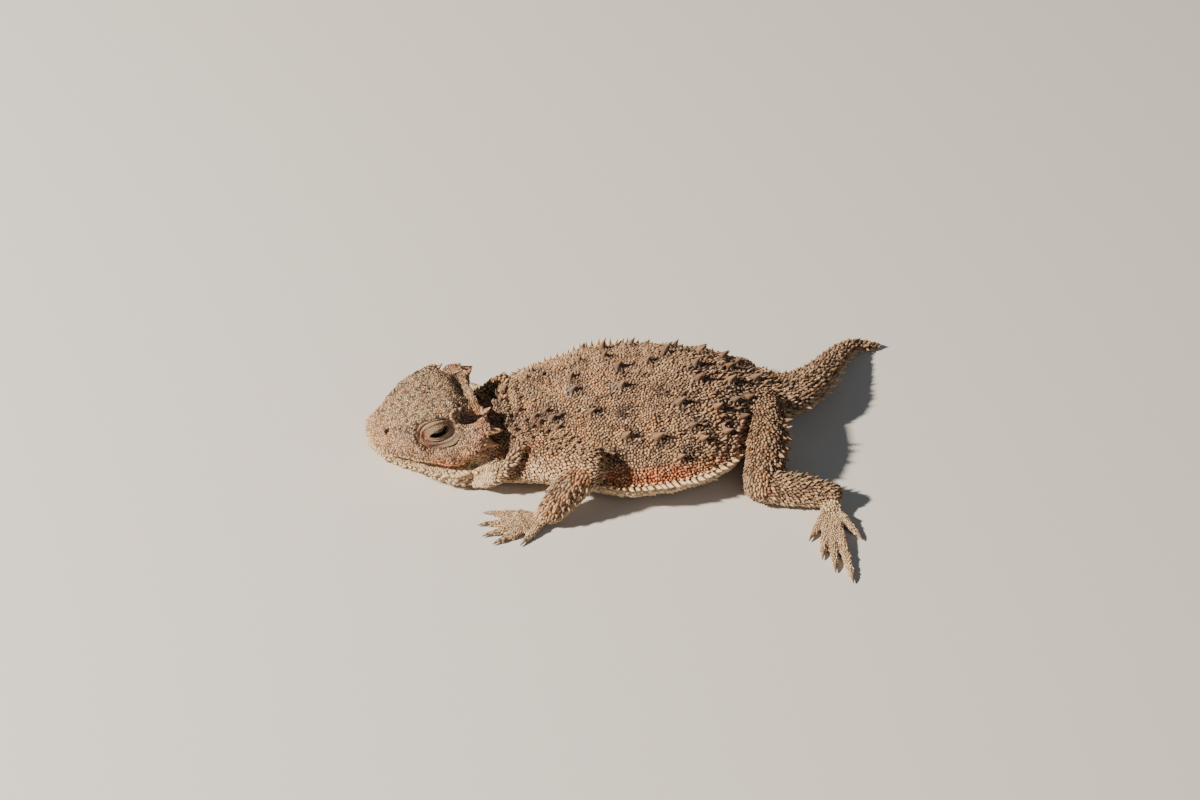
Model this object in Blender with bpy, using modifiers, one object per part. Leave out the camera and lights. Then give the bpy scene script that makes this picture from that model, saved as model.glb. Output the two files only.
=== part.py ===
# A short-horned lizard at life size, resting on its belly and four feet with its head a little raised.
# It faces -X, its left side is -Y, and the floor is z = 0. The origin is where the belly rests.
# Sizes are millimetres while the shapes are made, and the last step turns every mesh into metres.

import math
import random

import bmesh
import bpy
from mathutils import Matrix, Vector

MM = 0.001
GAP = 0.3  # between parts that touch
SINK = 0.9  # how deep a spine's root goes into its part

# Driving sizes
TRUNK_FRONT = -17.0  # x where the neck meets the trunk
TRUNK_BACK = 21.0  # x where the tail meets the trunk
NECK_FRONT = -24.0  # x of the neck's end inside the head
HEAD_YAW = math.radians(7.6)  # to the animal's left
HEAD_PITCH = math.radians(18.5)  # snout up
SNOUT = Vector((-36.4, -1.3, 6.0))  # the front of the mouth line
EYE_RADIUS = 1.9
EYE_PLACE = (7.1, 3.15, 5.3)  # on the head: back from the snout, out, up
LID_WALL = 0.5
LID_SHARES = (1.08, 1.0, 0.92)  # how long, deep and tall the lid bulge is beside a ball's size
LID_TILT, SLIT_TILT = math.radians(-24), math.radians(-40)
SLIT_RADII, SLIT_PLACE = (1.55, 2.6, 0.6), (0.55, 1.9, 0.1)  # the lids' opening, placed from the eye
ORBIT_RADII, ORBIT_OUT = (3.5, 1.35, 2.8), 3.15  # the hollow that the lids stand in
NOSTRIL_RADII, NOSTRIL_PLACE = (0.42, 0.8, 0.48), (1.6, 3.0, 3.3)
EAR_RADII, EAR_PLACE = (0.6, 0.8, 1.1), (12.2, 8.3, 3.4)
CLAW_LENGTH = 1.3

# The neck and trunk along x: left and right edge, heights of back, flank and belly, and how the back falls
LEFT_EDGE = (
    (-25, -5.6), (-22.5, -6.4), (-20.5, -8.4), (-19, -9.6), (-17, -10.2), (-13, -11.4), (-8.5, -13.6),
    (-3.3, -16.0), (0, -16.4), (6.4, -15.8), (10.8, -14.0), (13.3, -12.0), (17, -8.2), (21, -5.5),
)
RIGHT_EDGE = (
    (-25, 4.0), (-22.5, 4.6), (-20.5, 6.2), (-19, 7.2), (-17, 8.0), (-13, 10.1), (-8.5, 12.2),
    (-3.3, 13.8), (0, 14.0), (6.4, 12.8), (10.8, 11.0), (13.3, 9.4), (17, 6.0), (21, 3.0),
)
BACK_LINE = (
    (-25, 6.8), (-22.5, 7.0), (-20.5, 7.8), (-19, 8.4), (-17, 8.8), (-12, 9.5), (-6, 10.5), (0, 10.9),
    (6, 10.9), (11, 10.1), (15, 8.8), (18, 7.6), (21, 6.6),
)
FLANK_LINE = ((-25, 3.2), (-19, 3.2), (-12, 3.7), (-4, 3.7), (8, 3.7), (14, 4.0), (21, 4.2))
BELLY_LINE = (
    (-25, 0.5), (-17, 0.4), (-12, 0.3), (-6, 0.02), (0, -0.2), (8, -0.1), (13, 0.5), (17, 1.3), (21, 1.9),
)
BACK_POWER = ((-25, 1.2), (-19, 1.4), (-10, 1.6), (10, 1.7), (21, 1.1))  # 1 is round, 2 is sharp-edged
BELLY_POWER = 0.75
FRINGE_FRONT, FRINGE_BACK = -10.0, 15.0
NECK_SPINES = ((-18.0, 12, 1.0), (-18.2, 32, 0.9), (-18.4, 56, 1.0), (-19.6, 22, 0.8), (-19.6, 48, 0.9),
               (-18.6, 84, 1.0))  # x, degrees from the midline, height
FRINGE_COUNT = 25  # a side
# Rows of large spines: degrees from the midline, first and last x, count a side, height
BACK_SPINE_ROWS = ((16, -11, 18.5, 9, 0.95), (36, -8, 17, 8, 1.25), (56, -4, 14, 6, 1.0))

# The tail's centre line, and its half width and half height at each point
TAIL_PATH = ((19.5, -1.6, 4.3), (24.0, -0.7, 4.1), (28.2, 3.3, 3.0), (31.8, 7.9, 1.9), (34.9, 10.9, 1.1),
             (38.8, 11.2, 0.5))
TAIL_HALF_WIDTHS = (4.7, 3.3, 2.35, 1.65, 1.05, 0.42)
TAIL_HALF_HEIGHTS = (2.5, 2.1, 1.7, 1.25, 0.85, 0.42)
TAIL = (TAIL_PATH, TAIL_HALF_WIDTHS, TAIL_HALF_HEIGHTS)
TAIL_SPINE_TURNS = (-10, 40, 90, 140, 190)  # degrees round the tail, 90 on top
TAIL_SPLIT = 0.5
TAIL_LENGTH = 26.0

# The head's upper half. Each row: back from the snout, top, then (out, up) of brow, side, shelf and lip
HEAD_ROWS = (
    (0.0, 2.1, (0.8, 2.0), (1.4, 1.5), (2.0, 0.9), (2.1, 0.1)),
    (0.9, 3.1, (1.4, 2.9), (2.3, 2.2), (3.2, 1.3), (3.3, 0.1)),
    (1.9, 4.1, (2.3, 3.8), (3.1, 2.8), (4.0, 1.7), (4.1, 0.15)),
    (3.2, 5.6, (3.5, 5.5), (4.0, 4.0), (4.9, 2.2), (5.1, 0.25)),
    (4.6, 7.0, (4.5, 7.2), (4.6, 5.1), (5.5, 2.7), (6.0, 0.35)),
    (6.6, 8.3, (5.1, 8.8), (4.9, 6.0), (6.2, 3.1), (6.9, 0.55)),
    (8.8, 9.3, (5.3, 10.0), (5.4, 6.9), (7.2, 3.8), (7.6, 0.7)),
    (10.6, 9.1, (4.9, 8.7), (6.6, 7.2), (8.1, 4.5), (8.1, 0.9)),
    (12.6, 9.0, (5.0, 8.9), (7.2, 8.4), (8.7, 5.3), (8.0, 1.6)),
    (14.4, 8.5, (4.6, 8.7), (7.2, 7.7), (8.3, 5.2), (7.2, 3.0)),
)
OCCIPUT_NOTCH = 1.6  # how far the back of the skull comes forward at its middle
LIP_LINE = ((0, 0.1), (3.2, 0.25), (6.6, 0.55), (10.6, 0.9), (14.4, 3.0))
JAW_ROWS = ((0.35, 2.0, 0.7), (1.2, 3.4, 1.1), (3.1, 4.9, 1.6), (5.1, 6.0, 2.0), (7.6, 7.0, 2.4),
            (10.4, 8.1, 2.8), (13.0, 8.4, 2.7), (15.0, 7.4, 2.3))  # back, half width, depth
JAW_SHIELDS = 11  # a side
SHIELD_FRONT, SHIELD_BACK = 2.2, 12.4  # back from the snout
SHIELD_SMALL, SHIELD_LARGE = 0.55, 0.9  # root radius of the first and the last

# Horns: root on the head (back, out, up), direction (back, out, up), root radius and length
BROW_HORN = ((8.7, 4.75, 8.85), (0.92, 0.12, 0.38), 1.3, 1.3)
OCCIPITAL_HORN = ((13.3, 4.1, 8.2), (0.7, 0.1, 0.65), 1.3, 2.0)
TEMPORAL_HORNS = (
    ((13.8, 6.4, 7.5), (0.9, 0.28, 0.16), 1.3, 2.5),
    ((13.8, 7.3, 5.75), (0.9, 0.38, -0.05), 1.25, 2.4),
    ((12.9, 7.5, 4.3), (0.82, 0.5, -0.2), 1.1, 2.0),
)

# Limbs: joints from the body outwards, and where each digit ends on the floor
LIMBS = {
    "arm_left": {
        "joints": ((-14.2, -6.6, 4.6), (-11.3, -10.6, 5.6), (-8.0, -13.8, 6.8), (-13.6, -16.3, 2.1)),
        "tips": ((-20.8, -13.6), (-21.8, -15.5), (-21.6, -17.4), (-20.6, -18.9), (-17.4, -19.3)),
    },
    "leg_left": {
        "joints": ((18.0, -4.8, 4.8), (17.2, -11.6, 4.6), (15.2, -17.4, 2.9), (24.0, -20.1, 1.8)),
        "tips": ((20.5, -25.6), (20.9, -29.2), (21.8, -31.9), (23.4, -34.3), (26.0, -26.6)),
    },
    "arm_right": {
        "joints": ((-14.6, 5.4, 4.0), (-12.4, 8.3, 3.3), (-10.3, 11.0, 2.6), (-16.6, 9.4, 1.5)),
        "tips": ((-21.7, 8.9), (-23.2, 10.4), (-23.3, 12.0), (-22.2, 13.4), (-18.9, 13.0)),
    },
    "leg_right": {
        "joints": ((16.4, 3.4, 4.2), (12.8, 7.0, 3.1), (9.6, 9.8, 2.4), (15.6, 8.8, 1.5)),
        "tips": ((11.2, 12.4), (8.8, 12.9), (6.6, 13.5), (4.5, 14.4), (10.6, 15.4)),
    },
}
UPPER_SPINES, LOWER_SPINES = (0.34, 0.46, 0.58, 0.7), (0.48, 0.62, 0.76, 0.9)  # places along each length
SPINE_CLEARANCE = 0.7  # between a limb's spine and the trunk
ARM_NAMES, LEG_NAMES = ("upper_arm", "forearm", "hand"), ("thigh", "shank", "foot")
ARM_RADII = (3.2, 3.1, 2.6, 1.8)
FOLDED_ARM_RADII = (2.8, 2.3, 1.9, 1.5)  # the right arm, tucked against the body
LEG_RADII = (3.1, 2.9, 2.45, 1.6)
FINGER_RADIUS = 0.6
TOE_RADIUS = 0.62
PALM_SHARE = 0.42  # how far the palm reaches towards the digits' tips
DOME_TURNS = (36, 70)  # rings of a rounded end, in degrees
KNUCKLE_SHARE = 0.42  # how far along a digit the knuckle stands up

random.seed(7)


def along(knots, t):
    """The value at t of a smooth curve through (place, value) knots."""
    last = len(knots) - 1
    k = 0
    while k < last - 1 and t > knots[k + 1][0]:
        k += 1
    (t1, v1), (t2, v2) = knots[k], knots[k + 1]
    t0, v0 = knots[k - 1] if k else (t1 - (t2 - t1), v1 - (v2 - v1))
    t3, v3 = knots[k + 2] if k + 2 <= last else (t2 + (t2 - t1), v2 + (v2 - v1))
    m1 = (v2 - v0) / (t2 - t0) * (t2 - t1)
    m2 = (v3 - v1) / (t3 - t1) * (t2 - t1)
    s = (t - t1) / (t2 - t1)
    return (
        v1 * (2 * s**3 - 3 * s**2 + 1)
        + m1 * (s**3 - 2 * s**2 + s)
        + v2 * (3 * s**2 - 2 * s**3)
        + m2 * (s**3 - s**2)
    )


def smooth_path(points, t):
    """A point on a smooth curve through the given points, t from 0 to 1."""
    share = 1.0 / (len(points) - 1)
    return Vector(
        along([(k * share, p[axis]) for k, p in enumerate(points)], t) for axis in range(3)
    )


def trunk_point(x, angle, grow=0.0):
    """A point on the trunk at x. Angle 0 is the right flank and 90 degrees is the back."""
    left, right = along(LEFT_EDGE, x), along(RIGHT_EDGE, x)
    flank = along(FLANK_LINE, x)
    c, s = math.cos(angle), math.sin(angle)
    if s >= 0:
        rise = s ** along(BACK_POWER, x) * (along(BACK_LINE, x) - flank + grow)
    else:
        rise = -((-s) ** BELLY_POWER) * (flank - along(BELLY_LINE, x) + grow)
    return Vector((x, (left + right) / 2 + c * ((right - left) / 2 + grow), flank + rise))


def trunk_normal(x, angle):
    """The trunk's outward direction at a point."""
    step = 0.1
    lengthwise = trunk_point(x + step, angle) - trunk_point(x - step, angle)
    around = trunk_point(x, angle + step) - trunk_point(x, angle - step)
    return around.cross(lengthwise).normalized()


def loft(rings, name):
    """A closed body through rings of equal point counts, with flat ends."""
    bm = bmesh.new()
    made = [[bm.verts.new(p) for p in ring] for ring in rings]
    count = len(made[0])
    for near, far in zip(made, made[1:]):
        for k in range(count):
            n = (k + 1) % count
            bm.faces.new((near[k], near[n], far[n], far[k]))
    bm.faces.new(made[0][::-1])
    bm.faces.new(made[-1])
    bmesh.ops.recalc_face_normals(bm, faces=bm.faces)
    return as_object(bm, name)


def as_object(bm, name):
    """A linked object that holds this bmesh."""
    mesh = bpy.data.meshes.new(name)
    bm.to_mesh(mesh)
    bm.free()
    obj = bpy.data.objects.new(name, mesh)
    body.objects.link(obj)
    return obj


def tube_frame(shape, t):
    """(centre, across, upright, forward, half width, half height) of a tapering tube at t, from 0 to 1."""
    path, half_widths, half_heights = shape
    share = 1.0 / (len(path) - 1)
    step = 0.01
    forward = (smooth_path(path, min(1, t + step)) - smooth_path(path, max(0, t - step))).normalized()
    across = forward.cross(Vector((0, 0, 1))).normalized()
    width = along([(k * share, w) for k, w in enumerate(half_widths)], t)
    height = along([(k * share, h) for k, h in enumerate(half_heights)], t)
    return smooth_path(path, t), across, across.cross(forward).normalized(), forward, width, height


def tube(shape, name, start=0.0, end=1.0, sides=12, rings=9, domes="far"):
    """A body along a smooth path with oval sections that stand upright, rounded at its far end or both."""
    made = [tube_frame(shape, start + (end - start) * r / (rings - 1)) for r in range(rings)]
    turns = [2 * math.pi * k / sides for k in range(sides)]
    ends = {"none": (), "far": (made[-1],), "both": (made[0], made[-1])}[domes]
    for frame in ends:
        centre, across, upright, forward, w, h = frame
        outwards = forward if frame is made[-1] or len(ends) == 1 else -forward
        caps = []
        for turn in DOME_TURNS:
            c, s = math.cos(math.radians(turn)), math.sin(math.radians(turn))
            caps.append((centre + outwards * s * (w + h) / 2, across, upright, forward, w * c, h * c))
        made = made + caps if outwards is forward else caps[::-1] + made
    return loft(
        [[c + a * math.cos(x) * w + u * math.sin(x) * h for x in turns] for c, a, u, f, w, h in made], name
    )


def clear_of_trunk(point):
    """True where a point keeps SPINE_CLEARANCE from the trunk's smooth form."""
    x, y, z = point
    if not TRUNK_FRONT - SPINE_CLEARANCE < x < TRUNK_BACK:
        return True
    left, right = along(LEFT_EDGE, x), along(RIGHT_EDGE, x)
    across = (y - (left + right) / 2) / ((right - left) / 2 + SPINE_CLEARANCE)
    if abs(across) >= 1:
        return True
    angle = math.acos(across)
    return not trunk_point(x, -angle, SPINE_CLEARANCE).z < z < trunk_point(x, angle, SPINE_CLEARANCE).z


def tube_spines(shape, places, turns, radius, length, lean=0.7):
    """Spines round a tube, leaning along it, except where one would touch the trunk."""
    made = []
    for t in places:
        centre, across, upright, forward, w, h = tube_frame(shape, t)
        for turn in turns:
            c, s = math.cos(math.radians(turn)), math.sin(math.radians(turn))
            size = random.uniform(0.85, 1.15)
            root = centre + across * c * w + upright * s * h
            direction = (across * c + upright * s + forward * lean).normalized()
            if clear_of_trunk(root) and clear_of_trunk(root + direction * length * size):
                made.append(spike(root, direction, radius * size, length * size))
    return made


def spike(root, direction, radius, length, name="spine", sides=5, flat=1.0, across=None, blunt=0.0):
    """A closed cone whose root lies SINK inside the surface. Flat thins it, blunt widens its tip."""
    forward = Vector(direction).normalized()
    side = across or forward.cross(Vector((0.1, 0.2, 1))).normalized()
    upright = forward.cross(side).normalized()
    side = upright.cross(forward)
    depth = length + SINK
    bm = bmesh.new()
    bmesh.ops.create_cone(
        bm, cap_ends=True, segments=sides, radius1=radius, radius2=radius * blunt, depth=depth
    )
    bmesh.ops.scale(bm, vec=(1, flat, 1), verts=bm.verts)
    place = Matrix((side, upright, forward)).transposed().to_4x4()
    place.translation = Vector(root) + forward * (length - SINK) / 2
    bmesh.ops.transform(bm, matrix=place, verts=bm.verts)
    bmesh.ops.recalc_face_normals(bm, faces=bm.faces)
    return as_object(bm, name)


def ball(centre, radii, name, segments=14, rings=9):
    """A closed ellipsoid."""
    bm = bmesh.new()
    bmesh.ops.create_uvsphere(bm, u_segments=segments, v_segments=rings, radius=1.0)
    bmesh.ops.scale(bm, vec=radii, verts=bm.verts)
    bmesh.ops.translate(bm, vec=centre, verts=bm.verts)
    return as_object(bm, name)


def box(low, high, name):
    """A closed box between two corners."""
    low, high = Vector(low), Vector(high)
    bm = bmesh.new()
    bmesh.ops.create_cube(bm, size=1.0)
    bmesh.ops.scale(bm, vec=high - low, verts=bm.verts)
    bmesh.ops.translate(bm, vec=(low + high) / 2, verts=bm.verts)
    return as_object(bm, name)


def keep_largest(obj):
    """Drops every closed surface of the mesh but the largest."""
    bm = bmesh.new()
    bm.from_mesh(obj.data)
    left, groups = set(bm.faces), []
    while left:
        group, front = set(), [left.pop()]
        while front:
            face = front.pop()
            group.add(face)
            for edge in face.edges:
                for other in edge.link_faces:
                    if other in left:
                        left.remove(other)
                        front.append(other)
        groups.append(group)
    groups.sort(key=len)
    for group in groups[:-1]:
        bmesh.ops.delete(bm, geom=list(group), context="FACES")
    bm.to_mesh(obj.data)
    bm.free()


def boolean(obj, others, operation):
    """Joins the others to obj, or cuts them from it, and removes them."""
    group = bpy.data.collections.new("operands")
    bpy.context.scene.collection.children.link(group)
    for other in others:
        body.objects.unlink(other)
        group.objects.link(other)
    modifier = obj.modifiers.new("join", "BOOLEAN")
    modifier.operation = operation
    modifier.operand_type = "COLLECTION"
    modifier.collection = group
    modifier.solver = "MANIFOLD"
    graph = bpy.context.evaluated_depsgraph_get()
    mesh = bpy.data.meshes.new_from_object(obj.evaluated_get(graph))
    obj.modifiers.clear()
    obj.data = mesh
    for other in list(group.objects):
        bpy.data.objects.remove(other)
    bpy.data.collections.remove(group)
    keep_largest(obj)
    return obj


def fuse(obj, pieces):
    return boolean(obj, pieces, "UNION")


def carve(obj, cutters):
    return boolean(obj, cutters, "DIFFERENCE")


def floor():
    """What lies under the floor, as a cutter."""
    return box((-60, -60, -10), (60, 60, 0), "floor")


def grown(obj, by):
    """A copy of the object with its surface moved outwards."""
    bm = bmesh.new()
    bm.from_mesh(obj.data)
    bm.normal_update()
    moves = {v: v.normal.copy() * by for v in bm.verts}
    for vert, move in moves.items():
        vert.co += move
    return as_object(bm, obj.name + "_room")


def trunk_loft(name, first, last, rings, sides=32):
    """A length of the neck and trunk without its spines."""
    turns = [2 * math.pi * (k + 0.5) / sides for k in range(sides)]
    places = [first + (last - first) * k / (rings - 1) for k in range(rings)]
    return loft([[trunk_point(x, a) for a in turns] for x in places], name)


def fringe(side):
    """The row of pointed scales along one flank."""
    made = []
    for k in range(FRINGE_COUNT):
        share = k / (FRINGE_COUNT - 1)
        x = FRINGE_FRONT + (FRINGE_BACK - FRINGE_FRONT) * share
        angle = math.radians(6 if side > 0 else 174)
        out = trunk_normal(x, angle) + Vector((0.4, 0, 0.1))
        swell = 0.7 + 0.3 * math.sin(math.pi * share)
        length = random.uniform(1.0, 1.35) * swell
        made.append(spike(trunk_point(x, angle), out, 0.8 * swell, length, "fringe", sides=4, flat=0.65,
                          across=Vector((1, 0, 0))))
    return made


def trunk_spine(x, degrees, radius, height, lean):
    """One spine of the back, so many degrees to the right of the midline, leaning back."""
    angle = math.radians(90 - degrees)
    return spike(trunk_point(x, angle), trunk_normal(x, angle) + Vector((lean, 0, 0.1)), radius, height)


def back_spines():
    """The large spines of the back, in rows beside the midline."""
    made = []
    for degrees, first, last, count, height in BACK_SPINE_ROWS:
        for side in (1, -1):
            for k in range(count):
                x = first + (last - first) * (k + 0.25 * side) / (count - 1) + random.uniform(-0.5, 0.5)
                turn = side * (degrees + random.uniform(-3, 3))
                size = random.uniform(0.85, 1.1)
                made.append(trunk_spine(x, turn, 0.85 * height**0.5 * size, height * size, 0.55))
    return made


def make_torso():
    torso = trunk_loft("torso", TRUNK_FRONT, TRUNK_BACK, 23)
    return fuse(torso, fringe(1) + fringe(-1) + back_spines())


def make_neck():
    """The neck and throat, with clusters of short spines on the nape and at its sides."""
    neck = trunk_loft("neck", NECK_FRONT, TRUNK_FRONT - GAP, 9)
    spines = [
        trunk_spine(x, side * degrees, 0.75, height, 0.7)
        for x, degrees, height in NECK_SPINES
        for side in (1, -1)
    ]
    fuse(neck, spines)
    return carve(neck, [floor()])


def tail_spines(first, last, count):
    """Pointed scales down both sides and along the top of one length of the tail."""
    made = []
    for k in range(count):
        t = first + (last - first) * (k + 0.5) / count
        size = 0.35 + 0.65 * tube_frame(TAIL, t)[4] / TAIL_HALF_WIDTHS[0]
        made += tube_spines(TAIL, (t,), TAIL_SPINE_TURNS, 0.8 * size, 1.25 * size)
    return made


def make_tail():
    """Two lengths, parted by a thin cut: the broad base and the thin tip that lies on the floor."""
    base = tube(TAIL, "tail_base", 0.0, TAIL_SPLIT, 14, 9, "none")
    fuse(base, tail_spines(0.14, TAIL_SPLIT - 0.05, 5))
    carve(base, [box((0, -20, -20), (TRUNK_BACK + GAP, 20, 20), "trunk_side")])
    tip = tube(TAIL, "tail_tip", TAIL_SPLIT + GAP / TAIL_LENGTH, 1.0, 12, 10)
    fuse(tip, tail_spines(TAIL_SPLIT + 0.04, 0.92, 6))
    carve(tip, [floor()])


def head_matrix():
    """Carries a head point (back, out, up) to its place."""
    turn = Matrix.Rotation(HEAD_YAW, 4, "Z") @ Matrix.Rotation(HEAD_PITCH, 4, "Y")
    return Matrix.Translation(SNOUT) @ turn


def place_on_head(obj):
    obj.data.transform(head_matrix())
    return obj


def subdivided(obj, levels):
    """The object with a Subdivision Surface applied."""
    modifier = obj.modifiers.new("round", "SUBSURF")
    modifier.levels = modifier.render_levels = levels
    graph = bpy.context.evaluated_depsgraph_get()
    mesh = bpy.data.meshes.new_from_object(obj.evaluated_get(graph))
    obj.modifiers.clear()
    obj.data = mesh
    return obj


def head_loft(name):
    """The skull with its brow ridges, cheeks and upper lips, in the head's own frame."""
    rings = []
    for row, (x, top, brow, side, shelf, lip) in enumerate(HEAD_ROWS):
        notch = OCCIPUT_NOTCH if row == len(HEAD_ROWS) - 1 else 0.0
        half = [(0.0, top), (brow[0] * 0.5, top), brow, side, shelf, lip, (lip[0] * 0.5, lip[1])]
        right = [Vector((x - notch * max(0.0, 1 - out / 5), out, up)) for out, up in half]
        middle = Vector((x - notch, 0.0, lip[1]))
        left = [Vector((p.x, -p.y, p.z)) for p in reversed(right[1:])]
        rings.append(right + [middle] + left)
    return subdivided(loft(rings, name), 1)


def jaw_loft(name, grow=0.0):
    """The lower jaw and chin, under the mouth line."""
    rings = []
    for x, half_width, depth in JAW_ROWS:
        w, low = half_width + grow, -depth - grow
        top = along(LIP_LINE, x) - GAP + grow
        half = [(0.0, top), (w * 0.6, top), (w, top), (w * 0.98, low * 0.5), (w * 0.62, low * 0.95)]
        right = [Vector((x, out, up)) for out, up in half]
        left = [Vector((p.x, -p.y, p.z)) for p in reversed(right[1:])]
        rings.append(right + [Vector((x, 0.0, low))] + left)
    return subdivided(loft(rings, name), 1)


def on_side(place, side):
    """A head point given for the right side, on the side asked for: 1 is right and -1 is left."""
    return Vector((place[0], side * place[1], place[2]))


def eye_spot(side):
    return on_side(EYE_PLACE, side)


def make_head():
    """The skull, with a lid bulge round each eye, slit to show it, and the nostril and ear openings."""
    head = head_loft("head")
    cuts = [jaw_loft("jaw_room", GAP)]
    for side in (1, -1):
        socket = EYE_RADIUS + GAP
        lid = socket + LID_WALL
        tilt = Matrix.Rotation(LID_TILT, 4, "Y")
        orbit = ball((0, 0, 0), ORBIT_RADII, "orbit", 14, 9)
        orbit.data.transform(Matrix.Translation(eye_spot(side) + Vector((0, side * ORBIT_OUT, 0))) @ tilt)
        carve(head, [orbit])
        bulge = ball((0, 0, 0), [lid * share for share in LID_SHARES], "lids", 16, 10)
        bulge.data.transform(Matrix.Translation(eye_spot(side)) @ tilt)
        fuse(head, [bulge])
        cuts.append(ball(eye_spot(side), (socket, socket, socket), "socket", 14, 9))
        slit = ball((0, 0, 0), SLIT_RADII, "slit", 10, 6)
        middle = eye_spot(side) + on_side(SLIT_PLACE, side)
        slit.data.transform(Matrix.Translation(middle) @ Matrix.Rotation(SLIT_TILT, 4, "Y"))
        cuts.append(slit)
        cuts.append(ball(on_side(NOSTRIL_PLACE, side), NOSTRIL_RADII, "nostril", 8, 6))
        cuts.append(ball(on_side(EAR_PLACE, side), EAR_RADII, "ear", 8, 6))
    carve(head, cuts)
    return place_on_head(head)


def make_eyes():
    for side, word in ((-1, "left"), (1, "right")):
        eye = ball(eye_spot(side), (EYE_RADIUS,) * 3, "eye_" + word, 14, 9)
        place_on_head(eye)


def make_jaw():
    """The lower jaw, with a row of pale shields along each side, flat where the chin rests."""
    jaw = jaw_loft("jaw")
    shields = []
    for k in range(JAW_SHIELDS):
        share = k / (JAW_SHIELDS - 1)
        x = SHIELD_FRONT + (SHIELD_BACK - SHIELD_FRONT) * share
        out, depth = along([row[:2] for row in JAW_ROWS], x), along([(row[0], row[2]) for row in JAW_ROWS], x)
        size = SHIELD_SMALL + (SHIELD_LARGE - SHIELD_SMALL) * share
        for side in (1, -1):
            root = Vector((x, side * out * 0.96, -depth * 0.3))
            lean = Vector((0.15, side, 0))
            shields.append(spike(root, lean, size, 0.3 * size, "shield", sides=5, flat=0.75,
                                 across=Vector((1, 0, 0)), blunt=0.55))
    fuse(jaw, shields)
    return carve(place_on_head(jaw), [floor()])


def make_horns(head):
    """The short brow, occipital and temporal horns, each a node that meets the skull. Gives them back."""
    made = []
    horns = [("horn_brow", BROW_HORN), ("horn_occipital", OCCIPITAL_HORN)]
    horns += [(f"horn_temporal_{k + 1}", horn) for k, horn in enumerate(TEMPORAL_HORNS)]
    for side, word in ((-1, "left"), (1, "right")):
        for name, (place, direction, radius, length) in horns:
            horn = spike(on_side(place, side), on_side(direction, side), radius, length, f"{name}_{word}",
                         sides=9, flat=0.85, blunt=0.12)
            place_on_head(horn)
            made.append(carve(horn, [grown(head, GAP)]))
    return made


def digit(start, end, radius, name):
    """One finger or toe that arches at its knuckle and lies on the floor at its tip."""
    start, end = Vector(start), Vector((end[0], end[1], radius * 0.72))
    middle, late = start.lerp(end, KNUCKLE_SHARE), start.lerp(end, 0.75)
    middle.z = max(middle.z, radius * 1.5)
    late.z = radius * 0.9
    radii = (radius * 1.1, radius, radius * 0.92, radius * 0.72)
    return tube(((start, middle, late, end), radii, radii), name, sides=6, rings=5)


def claw(start, end, radius, name):
    """A short claw that goes on from a digit's tip."""
    tip = Vector((end[0], end[1], radius * 0.72))
    forward = tip - Vector(start)
    forward.z = 0
    forward.normalize()
    lowered = forward + Vector((0, 0, -0.12))
    return spike(tip + forward * radius * 0.4, lowered, radius * 0.5, CLAW_LENGTH, name)


def make_foot(name, wrist, ends, radius):
    """A palm with five digits and their claws, flat where it rests on the floor."""
    wrist = Vector(wrist)
    mean = sum((Vector((x, y, 0)) for x, y in ends), Vector()) / len(ends)
    palm = wrist.lerp(Vector((mean.x, mean.y, radius)), PALM_SHARE)
    palm.z = radius * 1.25
    forward = (mean - Vector((wrist.x, wrist.y, 0))).normalized()
    across = Vector((-forward.y, forward.x, 0))
    half_widths = [radius * k for k in (1.9, 2.3, 2.9)]
    half_heights = [radius * k for k in (1.9, 1.5, 1.15)]
    foot = tube(((wrist, wrist.lerp(palm, 0.5), palm), half_widths, half_heights), name, sides=10, rings=4)
    pieces = []
    for k, end in enumerate(ends):
        sideways = (Vector((end[0], end[1], 0)) - Vector((palm.x, palm.y, 0))).dot(across)
        spread = max(-1.0, min(1.0, sideways / 5.0)) * radius * 1.9
        start = palm + across * spread - forward * radius
        pieces += [digit(start, end, radius, f"digit_{k}"), claw(start, end, radius, f"claw_{k}")]
    fuse(foot, pieces)
    return carve(foot, [floor()])


def make_limb(key):
    """Upper length, lower length and foot, each cut to clear the one before it. Gives back their rooms."""
    which, word = key.split("_")
    names, radii, thick = {
        "arm": (ARM_NAMES, ARM_RADII if word == "left" else FOLDED_ARM_RADII, FINGER_RADIUS),
        "leg": (LEG_NAMES, LEG_RADII, TOE_RADIUS),
    }[which]
    root, middle, hinge, wrist = (Vector(p) for p in LIMBS[key]["joints"])
    lower_radii = (radii[2] * 0.93, (radii[2] + radii[3]) / 2 + 0.1, radii[3])
    upper_shape = ((root, middle, hinge), radii[:3], radii[:3])
    lower_shape = ((hinge, hinge.lerp(wrist, 0.5), wrist), lower_radii, lower_radii)
    upper = tube(upper_shape, f"{names[0]}_{word}", sides=11, rings=6, domes="both")
    lower = tube(lower_shape, f"{names[1]}_{word}", sides=11, rings=6)
    foot = make_foot(f"{names[2]}_{word}", wrist, LIMBS[key]["tips"], thick)
    rooms = [grown(part, GAP) for part in (upper, lower, foot)]
    rear = (180, 140, 90) if word == "left" else (0, 40, 90)
    upper_turns = rear[1:] if key == "leg_right" else rear
    for part, shape, places, turns in (
        (upper, upper_shape, UPPER_SPINES, upper_turns), (lower, lower_shape, LOWER_SPINES, rear)
    ):
        spines = tube_spines(shape, places, turns, 0.76, 0.85)
        if spines:
            fuse(part, spines)
    carve(foot, [grown(room, 0) for room in rooms[:2]])
    carve(lower, [grown(rooms[0], 0), floor()])
    carve(upper, [floor()])
    return rooms


def material(name, colour, roughness):
    made = bpy.data.materials.new(name)
    made.use_nodes = True
    shader = made.node_tree.nodes["Principled BSDF"]
    shader.inputs["Base Color"].default_value = (*colour, 1)
    shader.inputs["Roughness"].default_value = roughness
    return made


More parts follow.
